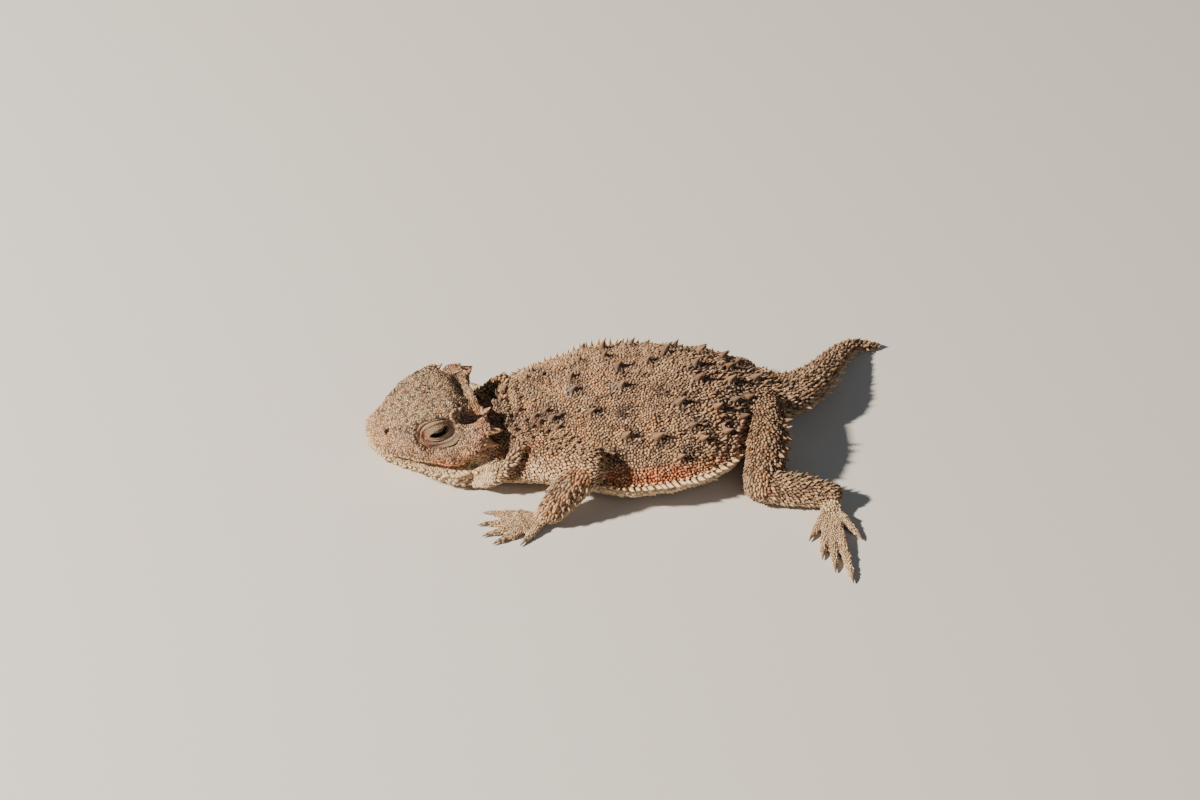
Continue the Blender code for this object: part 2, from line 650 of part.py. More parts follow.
def finish():
    """Gives each part its material and turns its mesh into metres."""
    skin = material("sandy_skin", (0.42, 0.32, 0.23), 0.8)
    pale = material("pale_skin", (0.66, 0.55, 0.4), 0.75)
    horn = material("horn", (0.45, 0.27, 0.18), 0.6)
    eye = material("eye", (0.02, 0.015, 0.01), 0.1)
    for obj in body.objects:
        kinds = {"eye": eye, "horn": horn, "hand": pale, "foot": pale, "jaw": pale}
        obj.data.materials.clear()
        obj.data.materials.append(kinds.get(obj.name.split("_")[0], skin))
        obj.data.transform(Matrix.Scale(MM, 4))
        obj.data.shade_smooth()
        obj.data.set_sharp_from_angle(angle=math.radians(50))


for old in list(bpy.data.objects):
    bpy.data.objects.remove(old)
body = bpy.data.collections.new("horned_lizard")
bpy.context.scene.collection.children.link(body)

torso = make_torso()
neck = make_neck()
make_tail()
head = make_head()
make_jaw()
make_eyes()
rooms = [room for key in LIMBS for room in make_limb(key)]
near_neck = [grown(part, GAP) for part in [head] + make_horns(head)] + [grown(room, 0) for room in rooms]
carve(neck, near_neck + [place_on_head(jaw_loft("jaw_room", 2 * GAP))])
carve(torso, [floor()] + rooms)
finish()
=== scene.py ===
import math

import bmesh
import bpy
import numpy as np
from mathutils import Matrix, Vector, noise
from mathutils.bvhtree import BVHTree
from mathutils.kdtree import KDTree


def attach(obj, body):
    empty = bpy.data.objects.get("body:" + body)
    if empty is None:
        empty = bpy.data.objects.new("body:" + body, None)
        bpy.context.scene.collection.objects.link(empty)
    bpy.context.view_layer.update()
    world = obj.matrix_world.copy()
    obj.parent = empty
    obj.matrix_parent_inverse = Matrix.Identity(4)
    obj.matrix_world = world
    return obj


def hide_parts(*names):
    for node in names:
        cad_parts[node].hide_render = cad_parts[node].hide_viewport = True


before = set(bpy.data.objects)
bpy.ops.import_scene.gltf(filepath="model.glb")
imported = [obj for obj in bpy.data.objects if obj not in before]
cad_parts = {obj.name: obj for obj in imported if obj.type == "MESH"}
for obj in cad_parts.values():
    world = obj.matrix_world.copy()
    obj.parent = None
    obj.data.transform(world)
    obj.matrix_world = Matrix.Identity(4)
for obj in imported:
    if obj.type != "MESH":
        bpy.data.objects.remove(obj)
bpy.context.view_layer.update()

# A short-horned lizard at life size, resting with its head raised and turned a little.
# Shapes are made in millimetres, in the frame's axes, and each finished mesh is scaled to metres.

mm = 0.001
rng = np.random.default_rng(11)


# Curves and small vector helpers, all on numpy arrays

def curve(knots, t):  # smooth curve through (place, value) knots
    places, values = np.array(knots, float).T
    t = np.asarray(t, float)
    steps = np.diff(places)
    rises = np.diff(values) / steps
    middle = (values[2:] - values[:-2]) / (places[2:] - places[:-2])
    slopes = np.concatenate((rises[:1], middle, rises[-1:]))
    k = np.clip(np.searchsorted(places, t) - 1, 0, len(steps) - 1)
    s, h = (t - places[k]) / steps[k], steps[k]
    return (values[k] * (2 * s**3 - 3 * s**2 + 1) + slopes[k] * h * (s**3 - 2 * s**2 + s)
            + values[k + 1] * (3 * s**2 - 2 * s**3) + slopes[k + 1] * h * (s**3 - s**2))


def pathAt(points, t):
    share = np.linspace(0, 1, len(points))
    return np.stack([curve(list(zip(share, axis)), t) for axis in zip(*points)], axis=-1)


def unit(v):
    return v / np.maximum(np.linalg.norm(v, axis=-1, keepdims=True), 1e-9)


def dot(a, b):
    return np.sum(a * b, axis=-1)


def step01(low, high, value):  # smooth step from 0 at low to 1 at high
    s = np.clip((value - low) / (high - low), 0, 1)
    return s * s * (3 - 2 * s)


def bump(value, middle, width):  # smooth hill of height 1
    return np.exp(-((value - middle) / width) ** 2)


# The body plan

trunk = {
    "leftEdge": ((-25, -5.6), (-22.5, -6.4), (-20.5, -8.4), (-19, -9.6), (-17, -10.2), (-13, -11.4), (-8.5, -13.6),
                 (-3.3, -16.0), (0, -16.4), (6.4, -15.8), (10.8, -14.0), (13.3, -12.0), (17, -8.2), (21, -5.5)),
    "rightEdge": ((-25, 4.0), (-22.5, 4.6), (-20.5, 6.2), (-19, 7.2), (-17, 8.0), (-13, 10.1), (-8.5, 12.2),
                  (-3.3, 13.8), (0, 14.0), (6.4, 12.8), (10.8, 11.0), (13.3, 9.4), (17, 6.0), (21, 3.0)),
    "back": ((-25, 6.8), (-22.5, 7.0), (-20.5, 7.8), (-19, 8.4), (-17, 8.8), (-12, 9.5), (-6, 10.5), (0, 10.9),
             (6, 10.9), (11, 10.1), (15, 8.8), (18, 7.6), (21, 6.6)),
    "flank": ((-25, 3.2), (-19, 3.2), (-12, 3.7), (-4, 3.7), (8, 3.7), (14, 4.0), (21, 4.2)),
    "belly": ((-25, 0.5), (-17, 0.4), (-12, 0.3), (-6, 0.1), (0, 0.08), (8, 0.08), (13, 0.5), (17, 1.3),
              (21, 1.9)),
    "backPower": ((-25, 1.2), (-19, 1.4), (-10, 1.6), (10, 1.7), (21, 1.1)),
    "bellyPower": 0.75,
    "front": -24.5,
    "rear": 23.0,
}


def trunkPoint(x, angle, grow=0.0):  # angle 0 is the right flank, a quarter turn is the back
    left, right = curve(trunk["leftEdge"], x), curve(trunk["rightEdge"], x)
    flank = curve(trunk["flank"], x)
    c, s = np.cos(angle), np.sin(angle)
    up = np.maximum(s, 0) ** curve(trunk["backPower"], x) * (curve(trunk["back"], x) - flank + grow)
    down = np.maximum(-s, 0) ** trunk["bellyPower"] * (flank - curve(trunk["belly"], x) + grow)
    return np.stack((x, (left + right) / 2 + c * ((right - left) / 2 + grow), flank + up - down), axis=-1)


def trunkMiddle(x):
    x = np.clip(x, trunk["front"], trunk["rear"])
    return (curve(trunk["leftEdge"], x) + curve(trunk["rightEdge"], x)) / 2


def farRise(x):  # the right flank's fringe climbs over the shoulder, 0 to 1
    return step01(6, 0, x) * step01(-15, -11, x)


def mirrored(points):  # every point on the left side
    x, y, z = points.T
    return np.column_stack((x, trunkMiddle(x) - np.abs(y - trunkMiddle(x)), z))


tail = {
    "path": ((17.5, -2.0, 4.5), (19.5, -1.6, 4.3), (24.0, -0.7, 4.1), (28.2, 3.3, 3.0), (31.8, 7.9, 1.9),
             (34.9, 10.9, 1.1), (38.6, 11.2, 0.5)),
    "widths": (4.3, 4.2, 3.2, 2.3, 1.6, 1.0, 0.38),
    "heights": (2.3, 2.3, 2.0, 1.6, 1.2, 0.8, 0.38),
}

limbs = {
    "armLeft": {
        "joints": ((-14.2, -6.6, 4.6), (-11.3, -10.6, 5.6), (-8.0, -13.8, 6.8), (-13.6, -16.3, 2.1)),
        "tips": ((-20.8, -13.6), (-21.8, -15.5), (-21.6, -17.4), (-20.6, -18.9), (-17.4, -19.3)),
        "radii": (3.1, 3.0, 2.5, 1.7), "digit": 0.54, "replaces": ("upper_arm_left", "forearm_left", "hand_left"),
    },
    "legLeft": {
        "joints": ((18.0, -4.8, 4.8), (17.2, -11.6, 4.6), (15.2, -17.4, 2.9), (24.0, -20.1, 1.8)),
        "tips": ((20.5, -25.6), (20.9, -29.2), (21.8, -31.9), (23.4, -34.3), (26.0, -26.6)),
        "radii": (3.0, 2.8, 2.35, 1.5), "digit": 0.56, "replaces": ("thigh_left", "shank_left", "foot_left"),
    },
    "armRight": {
        "joints": ((-14.6, 5.4, 4.0), (-12.4, 8.3, 3.3), (-10.3, 11.0, 2.6), (-16.6, 9.4, 1.5)),
        "tips": ((-21.7, 8.9), (-23.2, 10.4), (-23.3, 12.0), (-22.2, 13.4), (-18.9, 13.0)),
        "radii": (2.7, 2.2, 1.8, 1.4), "digit": 0.54, "replaces": ("upper_arm_right", "forearm_right", "hand_right"),
    },
    "legRight": {
        "joints": ((16.4, 3.4, 4.2), (12.8, 7.0, 3.1), (9.6, 9.8, 2.4), (15.6, 8.8, 1.5)),
        "tips": ((11.2, 12.4), (8.8, 12.9), (6.6, 13.5), (4.5, 14.4), (10.6, 15.4)),
        "radii": (3.0, 2.8, 2.35, 1.5), "digit": 0.56, "replaces": ("thigh_right", "shank_right", "foot_right"),
    },
}
throatFold = {"path": ((-22.5, -7.5, 1.0), (-21.4, -8.7, 1.8), (-20.1, -9.15, 2.9), (-18.8, -9.3, 4.1),
                       (-17.4, -9.15, 5.4), (-16.2, -8.4, 6.7)),
              "widths": (0.4, 0.9, 1.1, 1.1, 0.95, 0.6), "heights": (0.4, 0.9, 1.1, 1.1, 0.95, 0.6)}
neckKnobs = (((-16.6, -4.3, 7.5), 1.05), ((-16.2, -7.6, 6.5), 0.85), ((-21.6, -7.3, 2.3), 1.15))
palmShare = 0.3  # how far a palm reaches towards the digits' tips

# Where the large spines stand

backSpines = (  # x, degrees round the trunk (90 is the midline, more is its left), height
    (-2.33, 67, 1.1), (-1.44, 97, 1.1), (-8.06, 95, 1.0), (9.2, 96, 1.3), (5.73, 112, 1.5), (1.83, 131, 1.2),
    (-2.19, 128, 1.35), (13.76, 98, 1.2), (17.45, 92, 1.1), (10.8, 118.5, 1.2), (13.64, 116.6, 1.2),
    (15.67, 118, 1.1), (8.11, 137, 1.1), (6.84, 127, 0.9), (3.07, 78, 1.0), (-6.2, 112, 0.9), (-4.6, 141, 0.8),
    (4.6, 146, 0.8), (11.6, 138, 1.0), (14.3, 134, 0.9),
)
farSpines = tuple((x + 0.35, 180 - degrees - 2, height) for x, degrees, height in backSpines if degrees > 94)
napeSpines = (  # on the neck, in clusters
    (-16.7, 119, 0.8), (-16.1, 124, 0.7), (-17.2, 126, 0.7), (-16.75, 147, 0.8), (-17.4, 143, 0.7),
    (-16.2, 152, 0.7), (-18.0, 66, 1.0), (-16.4, 62, 1.0), (-18.3, 100, 0.8), (-18.9, 128, 0.8),
    (-19.2, 108, 0.7), (-15.1, 112, 0.6), (-14.4, 132, 0.7), (-17.7, 84, 0.8), (-15.2, 88, 0.7),
    (-16.5, 44, 0.9), (-17.5, 30, 0.9), (-18.6, 50, 0.9), (-13.6, 111, 0.9), (-13.0, 117, 1.05),
    (-12.2, 109, 0.8), (-11.6, 116, 1.05), (-11.0, 122, 0.9), (-12.5, 125, 0.85), (-10.4, 113, 0.8),
    (-13.5, 127, 0.7), (-14.2, 119, 0.75), (-13.2, 68, 0.9), (-12.0, 64, 0.95), (-11.2, 70, 0.8), (-12.6, 57, 0.8),
    (-15.6, 101, 0.7), (-16.4, 107, 0.7), (-18.0, 114, 0.85), (-17.4, 110, 0.7), (-15.4, 74, 0.7),
)

head = {
    "snout": Vector((-36.4, -1.3, 6.0)), "yaw": math.radians(7.6), "pitch": math.radians(18.5),
    "eye": (7.5, 3.15, 5.5), "eyeRadius": 1.95,
}
headMatrix = (Matrix.Translation(head["snout"]) @ Matrix.Rotation(head["yaw"], 4, "Z")
              @ Matrix.Rotation(head["pitch"], 4, "Y"))
headTurn = np.array(headMatrix)[:3, :3]
headPlace = np.array(head["snout"])


def toHead(points):  # world millimetres to (back from the snout, out to the right, up)
    return (points - headPlace) @ headTurn


def fromHead(points):
    return np.asarray(points, float) @ headTurn.T + headPlace


# Meshes

def fromBmesh(bm, name):
    mesh = bpy.data.meshes.new(name)
    bm.to_mesh(mesh)
    bm.free()
    piece = bpy.data.objects.new(name, mesh)
    bpy.context.scene.collection.objects.link(piece)
    return piece


def shapedGrid(across, along, form):  # a grid bent into a closed body by form(u, v), u running round it
    bm = bmesh.new()
    bmesh.ops.create_grid(bm, x_segments=across, y_segments=along, size=1)
    bm.verts.ensure_lookup_table()
    places = np.array([v.co for v in bm.verts])
    points = form((places[:, 0] + 1) / 2, (places[:, 1] + 1) / 2)
    for v, p in zip(bm.verts, points):
        v.co = p
    bmesh.ops.remove_doubles(bm, verts=bm.verts, dist=0.0005)
    bmesh.ops.holes_fill(bm, edges=[e for e in bm.edges if e.is_boundary], sides=0)
    bmesh.ops.recalc_face_normals(bm, faces=bm.faces)
    return bm


def tubeFrame(tube, t):  # centre, forward, across, upright, half width, half height
    t = np.asarray(t, float)
    step = 0.01
    forward = unit(pathAt(tube["path"], np.minimum(1, t + step)) - pathAt(tube["path"], np.maximum(0, t - step)))
    across = unit(np.cross(forward, (0, 0, 1)))
    share = np.linspace(0, 1, len(tube["path"]))
    width, height = (curve(list(zip(share, tube[k])), t) for k in ("widths", "heights"))
    return pathAt(tube["path"], t), forward, across, np.cross(across, forward), width, height


def tubeBody(tube, sides=20, rings=24):
    def form(u, v):
        centre, forward, across, upright, width, height = tubeFrame(tube, v)
        turn = u * 2 * np.pi
        return (centre + across * (np.cos(turn) * width)[:, None] + upright * (np.sin(turn) * height)[:, None])
    return shapedGrid(sides, rings, form)


def ballBody(centre, radius):
    bm = bmesh.new()
    bmesh.ops.create_uvsphere(bm, u_segments=20, v_segments=14, radius=radius)
    bmesh.ops.translate(bm, vec=centre, verts=bm.verts)
    return bm


def nodeBody(name):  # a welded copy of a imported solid, in millimetres
    bm = bmesh.new()
    bm.from_mesh(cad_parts[name].data)
    bmesh.ops.scale(bm, vec=(1 / mm,) * 3, verts=bm.verts)
    bmesh.ops.remove_doubles(bm, verts=bm.verts, dist=0.0005)
    return bm


# Limbs as tubes

def roundTube(points, radii):
    return {"path": tuple(tuple(p) for p in points), "widths": tuple(radii), "heights": tuple(radii)}


def limbTubes(limb):
    root, middle, hinge, wrist = (np.array(p) for p in limb["joints"])
    r = limb["radii"]
    upper = roundTube((root, middle, hinge), r[:3])
    lower = roundTube((hinge, (hinge + wrist) / 2, wrist), (r[2] * 0.93, (r[2] + r[3]) / 2 + 0.1, r[3]))
    thick = limb["digit"]
    mean = np.append(np.mean(limb["tips"], axis=0), thick)
    palm = wrist + (mean - wrist) * palmShare
    palm[2] = thick * 1.2
    hand = {"path": (tuple(wrist), tuple((wrist + palm) / 2), tuple(palm)),
            "widths": tuple(thick * k for k in (1.9, 2.3, 2.8)), "heights": tuple(thick * k for k in (1.8, 1.5, 1.1))}
    forward = unit((mean - wrist) * (1, 1, 0))
    across = np.array((-forward[1], forward[0], 0))
    digits = []
    for tip in limb["tips"]:
        end = np.array((tip[0], tip[1], thick * 0.68))
        sideways = np.clip(dot((end - palm) * (1, 1, 0), across) / 5, -1, 1) * thick * 1.9
        start = palm + across * sideways - forward * thick
        knuckle, late = start + (end - start) * 0.42, start + (end - start) * 0.75
        knuckle[2], late[2] = max(knuckle[2], thick * 1.45), thick * 0.85
        digits.append(roundTube((start, knuckle, late, end), [thick * k for k in (1.05, 1.0, 0.9, 0.66)]))
    return upper, lower, hand, digits


limbParts = {key: limbTubes(limb) for key, limb in limbs.items()}


# The skin: rough bodies joined by a voxel remesh, smoothed, then folded and creased

skinLook = {"voxel": 0.27, "smoothing": 5, "inset": 0.1, "floor": 0.05}


def roughBodies():
    front, rear = trunk["front"], trunk["rear"]
    bodies = [shapedGrid(72, 80, lambda u, v: trunkPoint(front + (rear - 0.2 - front) * v, u * 2 * np.pi))]
    bodies.append(tubeBody(tail, 24, 40))
    bodies.append(ballBody(tail["path"][-1], 0.38))
    for upper, lower, hand, digits in limbParts.values():
        for tube in [upper, lower, hand]:
            bodies.append(tubeBody(tube))
            for end in (0, -1):
                bodies.append(ballBody(tube["path"][end], min(tube["widths"][end], tube["heights"][end])))
        for digit in digits:
            bodies.append(tubeBody(digit, 14, 20))
            for place, radius in zip(digit["path"][1:], (0.66, 0.6, 0.42)):
                bodies.append(ballBody(place, radius))
    for side in (1, -1):
        across = lambda x, y: y if side > 0 else 2 * trunkMiddle(x) - y
        fold = {**throatFold, "path": tuple((x, float(across(x, y)), z) for x, y, z in throatFold["path"])}
        bodies += [tubeBody(fold, 16, 24)] + [ballBody(p, 0.75) for p in (fold["path"][0], fold["path"][-1])]
        bodies += [ballBody((x, float(across(x, y)), z), radius) for (x, y, z), radius in neckKnobs]
    bodies += [nodeBody("head"), nodeBody("jaw")]
    for side in (-1, 1):
        eye = (head["eye"][0], side * head["eye"][1], head["eye"][2])
        bodies.append(ballBody(fromHead(eye), head["eyeRadius"] + 0.45))
    return bodies


def joined(bodies, name):
    whole = bmesh.new()
    for bm in bodies:
        mesh = bpy.data.meshes.new("rough")
        bm.to_mesh(mesh)
        bm.free()
        whole.from_mesh(mesh)
        bpy.data.meshes.remove(mesh)
    return fromBmesh(whole, name)


def evaluated(piece):  # the piece's mesh with its modifiers applied
    mesh = bpy.data.meshes.new_from_object(piece.evaluated_get(bpy.context.evaluated_depsgraph_get()))
    old = piece.data
    piece.modifiers.clear()
    piece.data = mesh
    bpy.data.meshes.remove(old)


def meshPoints(mesh):
    flat = np.empty(len(mesh.vertices) * 3, np.float32)
    mesh.vertices.foreach_get("co", flat)
    return flat.reshape(-1, 3).astype(float)


def meshNormals(mesh):
    flat = np.empty(len(mesh.vertices) * 3, np.float32)
    mesh.vertices.foreach_get("normal", flat)
    return flat.reshape(-1, 3).astype(float)


def setPoints(mesh, points):
    mesh.vertices.foreach_set("co", points.astype(np.float32).ravel())
    mesh.update()


def meshEdges(mesh):
    flat = np.empty(len(mesh.edges) * 2, np.int32)
    mesh.edges.foreach_get("vertices", flat)
    return flat.reshape(-1, 2)


def relaxed(points, edges, rounds, share):  # smoothing that keeps volume: each round in, then back out
    count = len(points)
    degree = np.bincount(edges.ravel(), minlength=count)[:, None]
    for _ in range(rounds):
        for push in (0.5, -0.52):
            total = np.zeros_like(points)
            for axis in range(3):
                total[:, axis] = (np.bincount(edges[:, 0], points[edges[:, 1], axis], count)
                                  + np.bincount(edges[:, 1], points[edges[:, 0], axis], count))
            points = points + (total / degree - points) * push * share
    return points


print("skin: rough bodies")
skin = joined(roughBodies(), "skin")
remesh = skin.modifiers.new("voxels", "REMESH")
remesh.mode = "VOXEL"
remesh.voxel_size = skinLook["voxel"]
evaluated(skin)
print("skin:", len(skin.data.vertices), "points")


# Where a point lies on the body: its part, its place along and round it, and which way the scales lie

partNames = ("trunk", "head", "tail", "upper", "lower", "hand", "digit")
headWidth = ((0, 2.1), (3.2, 5.1), (6.6, 6.9), (10.6, 8.1), (15, 8.4))
headTop = ((0, 2.1), (1.9, 4.5), (4.6, 7.7), (8.8, 9.4), (15, 8.5))
headFoot = ((0, -0.6), (3.1, -1.3), (7.6, -2.0), (13, -2.4), (15, -2.2))


def alongTube(points, tube, samples):
    centre, forward, across, upright, width, height = tubeFrame(tube, np.linspace(0, 1, samples))
    best = np.full(len(points), np.inf)
    place, lie, angle = np.zeros(len(points)), np.zeros_like(points), np.zeros(len(points))
    for k in range(samples - 1):
        a, step = centre[k], centre[k + 1] - centre[k]
        s = np.clip(dot(points - a, step) / dot(step, step), 0, 1)
        offset = points - a - s[:, None] * step
        radius = (width[k] + height[k]) / 2 + s * ((width[k + 1] + height[k + 1]) - (width[k] + height[k])) / 2
        distance = np.linalg.norm(offset, axis=1) / radius
        near = distance < best
        best[near] = distance[near]
        place[near] = ((k + s) / (samples - 1))[near]
        lie[near] = forward[k]
        angle[near] = np.arctan2(dot(offset, upright[k]), dot(offset, across[k]))[near]
    return best, place, angle, lie


def bodyPlaces(points):
    x, y, z = points.T
    inside = np.clip(x, trunk["front"], trunk["rear"])
    left, right = curve(trunk["leftEdge"], inside), curve(trunk["rightEdge"], inside)
    flank, back, belly = (curve(trunk[k], inside) for k in ("flank", "back", "belly"))
    c = (y - (left + right) / 2) / ((right - left) / 2)
    s = np.where(z > flank, (z - flank) / (back - flank), (z - flank) / (flank - belly))
    found = {
        "part": np.zeros(len(points), int), "limb": np.zeros(len(points), int),
        "place": (x - trunk["front"]) / (trunk["rear"] - trunk["front"]),
        "angle": np.arctan2(s, c), "lie": np.tile((1.0, 0.0, 0.05), (len(points), 1)),
        "distance": np.hypot(c, s) + np.abs(x - inside) / 2,
    }

    def take(part, limb, distance, place, angle, lie):
        near = distance < found["distance"]
        for key, value in zip(("part", "limb"), (part, limb)):
            found[key][near] = value
        for key, value in zip(("distance", "place", "angle", "lie"), (distance, place, angle, lie)):
            found[key][near] = value[near]

    back, out, up = toHead(points).T
    within = np.clip(back, 0, 14.6)
    top, foot = curve(headTop, within), curve(headFoot, within)
    s = (up - (top + foot) / 2) / ((top - foot) / 2)
    distance = np.hypot(out / curve(headWidth, within), s) * 0.9 + np.abs(back - within) * 0.8
    take(1, 0, distance, within / 15, np.arctan2(s, out), np.tile(headTurn[:, 0], (len(points), 1)))
    take(2, 0, *alongTube(points, tail, 16))
    for k, (upper, lower, hand, digits) in enumerate(limbParts.values()):
        take(3, k, *alongTube(points, upper, 7))
        take(4, k, *alongTube(points, lower, 6))
        take(5, k, *alongTube(points, hand, 4))
        for n, digit in enumerate(digits):
            take(6, k * 5 + n, *alongTube(points, digit, 6))
    return found


# Folds and ridges: each stroke lifts or sinks the skin beside a path

def strokeGap(points, path):  # distance to a path
    best = np.full(len(points), np.inf)
    path = np.asarray(path, float)
    for start, end in zip(path, path[1:]):
        step = end - start
        s = np.clip((points - start) @ step / (step @ step), 0, 1)
        best = np.minimum(best, np.linalg.norm(points - start - s[:, None] * step, axis=1))
    return best


headStrokes = (  # path on the right of the head as (back, out, up), width, height, direction
    (((2.4, 2.7, 4.8), (4.4, 4.5, 7.1), (6.4, 5.1, 8.6), (8.9, 5.3, 9.7)), 0.6, 0.75, (0, 0.35, 0.9)),
    (((4.4, 5.2, 5.9), (5.6, 5.8, 7.3), (7.4, 6.0, 7.9), (9.4, 6.2, 7.7)), 0.55, -0.85, (0, 1, 0.1)),
    (((8.6, 5.3, 9.5), (9.4, 5.35, 9.7)), 0.5, 0.35, (0.6, 0.1, 0.8)),
    (((10.6, 5.2, 8.6), (11.6, 5.2, 8.4)), 1.05, -1.5, (0, 0.4, 0.9)),
    (((9.9, 6.3, 7.2), (10.7, 6.6, 7.0)), 0.6, -0.5, (0, 0.6, 0.7)),
    (((13.0, 0, 8.9), (13.4, 2.2, 9.0), (13.7, 4.3, 9.0)), 0.55, 0.5, (0.3, 0, 1)),
    (((11.4, 0, 8.9), (11.6, 2.4, 8.9)), 0.8, -0.4, (0, 0, 1)),
    (((9.6, 7.4, 4.9), (11.4, 8.2, 6.2), (13.8, 7.6, 7.6)), 0.6, 0.4, (0, 0.8, 0.5)),
    (((11.6, 6.6, 7.4), (13.2, 6.8, 7.6), (14.6, 7.0, 7.5)), 0.5, 0.5, (0.2, 0.5, 0.8)),
    (((11.8, 8.2, 5.4), (13.4, 8.2, 5.6), (14.4, 7.8, 5.6)), 0.45, 0.35, (0.2, 1, 0)),
    (((11.4, 8.2, 4.0), (12.8, 8.3, 4.1), (13.6, 8.0, 4.1)), 0.4, 0.35, (0.2, 1, 0)),
    (((10.2, 8.1, 2.6), (12.0, 8.3, 2.7), (13.8, 8.0, 3.2)), 0.5, -0.5, (0, 1, 0.2)),
    (((1.0, 3.3, 0.05), (3.2, 5.2, 0.15), (6.6, 6.95, 0.45), (10.4, 8.1, 0.8), (12.2, 8.3, 1.7)), 0.26, -0.42,
     (0, 1, 0)),
    (((1.2, 3.4, 0.75), (3.2, 5.2, 0.9), (6.6, 6.9, 1.2), (10.0, 8.0, 1.6)), 0.4, 0.18, (0, 1, 0)),
    (((4.3, 5.0, 3.1), (6.0, 5.9, 2.5), (8.0, 6.4, 2.7), (9.9, 6.7, 4.0)), 0.45, 0.3, (0, 1, 0.2)),
    (((6.6, 6.7, 2.0), (8.4, 7.4, 2.2), (10.2, 7.9, 2.6)), 0.22, -0.25, (0, 1, 0.2)),
    (((2.6, 0, 4.1), (5.0, 0, 6.4), (8.0, 0, 8.2)), 1.3, -0.35, (0, 0, 1)),
)
bodyStrokes = (  # path in the frame, its far twin mirrored in the trunk's middle; width, height
    (((-20.9, -10.2, 0.9), (-19.4, -10.4, 2.4), (-17.8, -10.2, 4.0), (-16.4, -9.9, 5.4), (-15.2, -8.9, 6.9)), 0.5,
     -0.9),
    (((-18.9, -10.9, 1.0), (-17.6, -10.8, 2.6), (-16.4, -10.5, 4.2)), 0.35, -0.4),
    (((-18.5, -3.4, 8.1), (-18.2, -5.6, 7.5), (-18.2, -7.3, 6.6), (-18.8, -8.2, 5.4)), 0.85, -1.7),
    (((-17.2, -9.6, 4.6), (-15.6, -9.2, 6.2), (-13.4, -8.6, 7.6)), 0.35, -0.5),
    (((-20.6, -1.2, 8.0), (-20.4, -4.2, 7.4), (-20.2, -6.0, 6.4)), 0.5, -0.7),
    (((-18.6, -1.2, 8.8), (-18.4, -4.4, 8.2), (-17.8, -6.6, 7.0)), 0.55, 0.6),
    (((-16.6, -1.2, 9.0), (-16.4, -4.4, 8.6), (-15.6, -7.2, 7.6)), 0.4, -0.65),
    (((-14.9, -1.0, 9.2), (-14.7, -4.2, 8.7), (-14.3, -6.8, 7.9)), 0.4, -0.4),
    (((-12.3, -4.4, 9.1), (-11.7, -6.4, 8.6)), 1.0, 0.45),
    (((-14.0, -9.4, 7.4), (-11.9, -10.4, 8.0), (-9.6, -11.4, 8.4)), 0.6, -0.4),
    (((-10.2, -13.4, 4.4), (-6.8, -15.8, 5.0)), 0.6, -0.4),
    (((13.4, -11.8, 4.2), (13.9, -10.6, 5.4), (15.2, -8.6, 6.4), (16.8, -6.6, 7.2)), 0.6, -0.6),
    (((12.2, -12.2, 4.6), (12.9, -10.8, 5.8), (14.2, -8.6, 6.9)), 0.5, 0.3),
    (((9.0, -14.2, 5.0), (10.4, -12.2, 6.6), (11.0, -9.6, 8.2)), 0.4, -0.28),
    (((6.0, -15.4, 5.0), (7.6, -13.4, 6.6), (8.4, -11.0, 8.2)), 0.4, -0.22),
    (((-12.8, -9.6, 7.0), (-12.4, -7.2, 8.4), (-12.6, -5.0, 9.2)), 0.35, -0.3),
)
openings = {  # path seen from the side as (back, 0, up), half width
    "nostril": (((1.55, 0, 2.7), (1.7, 0, 3.15)), 0.18),
    "ear": (((12.0, 0, 1.7), (12.3, 0, 2.8)), 0.36),
}
orbit = {"centre": (7.2, 5.4), "tilt": math.radians(26), "radii": (2.75, 2.05), "floor": 1.5}


def openingGap(back, out, up):  # 0 in a nostril or an ear, 1 at its edge
    flat = np.column_stack((back, 0 * back, up))
    gap = np.minimum(*[strokeGap(flat, path) / radius for path, radius in openings.values()])
    return np.where(np.abs(out) > 1.0, gap, 9.0)


def orbitPlaces(back, up):  # along and across the eye's opening
    a, b = back - orbit["centre"][0], up - orbit["centre"][1]
    c, s = math.cos(orbit["tilt"]), math.sin(orbit["tilt"])
    return a * c + b * s, b * c - a * s


def sculpted(points, normals, part):
    places = toHead(points)
    side = np.where(places[:, 1] < 0, -1.0, 1.0)
    folded = places * np.column_stack((np.ones(len(side)), side, np.ones(len(side))))
    for path, width, height, direction in headStrokes:
        push = bump(strokeGap(folded, path), 0, width) * height
        way = unit(np.array(direction, float))
        folded = folded + push[:, None] * way * (part == 1)[:, None]
    hollow = 0.7 * step01(1.5, 0.4, openingGap(*folded.T)) * (part == 1)
    folded = folded + hollow[:, None] * unit(np.array((0.3, -1.0, -0.1)))
    a, b = orbitPlaces(folded[:, 0], folded[:, 2])
    inside = step01(1.12, 0.9, np.hypot(a / orbit["radii"][0], b / orbit["radii"][1])) * (folded[:, 1] > 1.5)
    offset = folded - head["eye"]
    reach = np.linalg.norm(offset, axis=1)
    sunk = head["eye"] + offset * np.minimum(1, orbit["floor"] / np.maximum(reach, 1e-6))[:, None]
    near = (inside > 0) & (part == 1) & (reach < 4.5)
    folded[near] += ((sunk - folded) * inside[:, None])[near]
    result = np.where((part == 1)[:, None], fromHead(folded * np.column_stack((np.ones(len(side)), side,
                                                                              np.ones(len(side))))), points)
    leftSide = mirrored(result)
    push = np.zeros(len(result))
    for path, width, height in bodyStrokes:
        push += bump(strokeGap(leftSide, path), 0, width) * height
    push = np.where((part == 1) | (part == 6), 0, push)
    lumps = np.array([0.2 * noise.noise(Vector(p) * 0.5) + 0.13 * noise.noise(Vector(p) * 1.25) for p in result])
    push += lumps * np.array([1.0, 0.75, 0.5, 0.8, 0.6, 0.3, 0.0])[part]
    return result + normals * push[:, None]


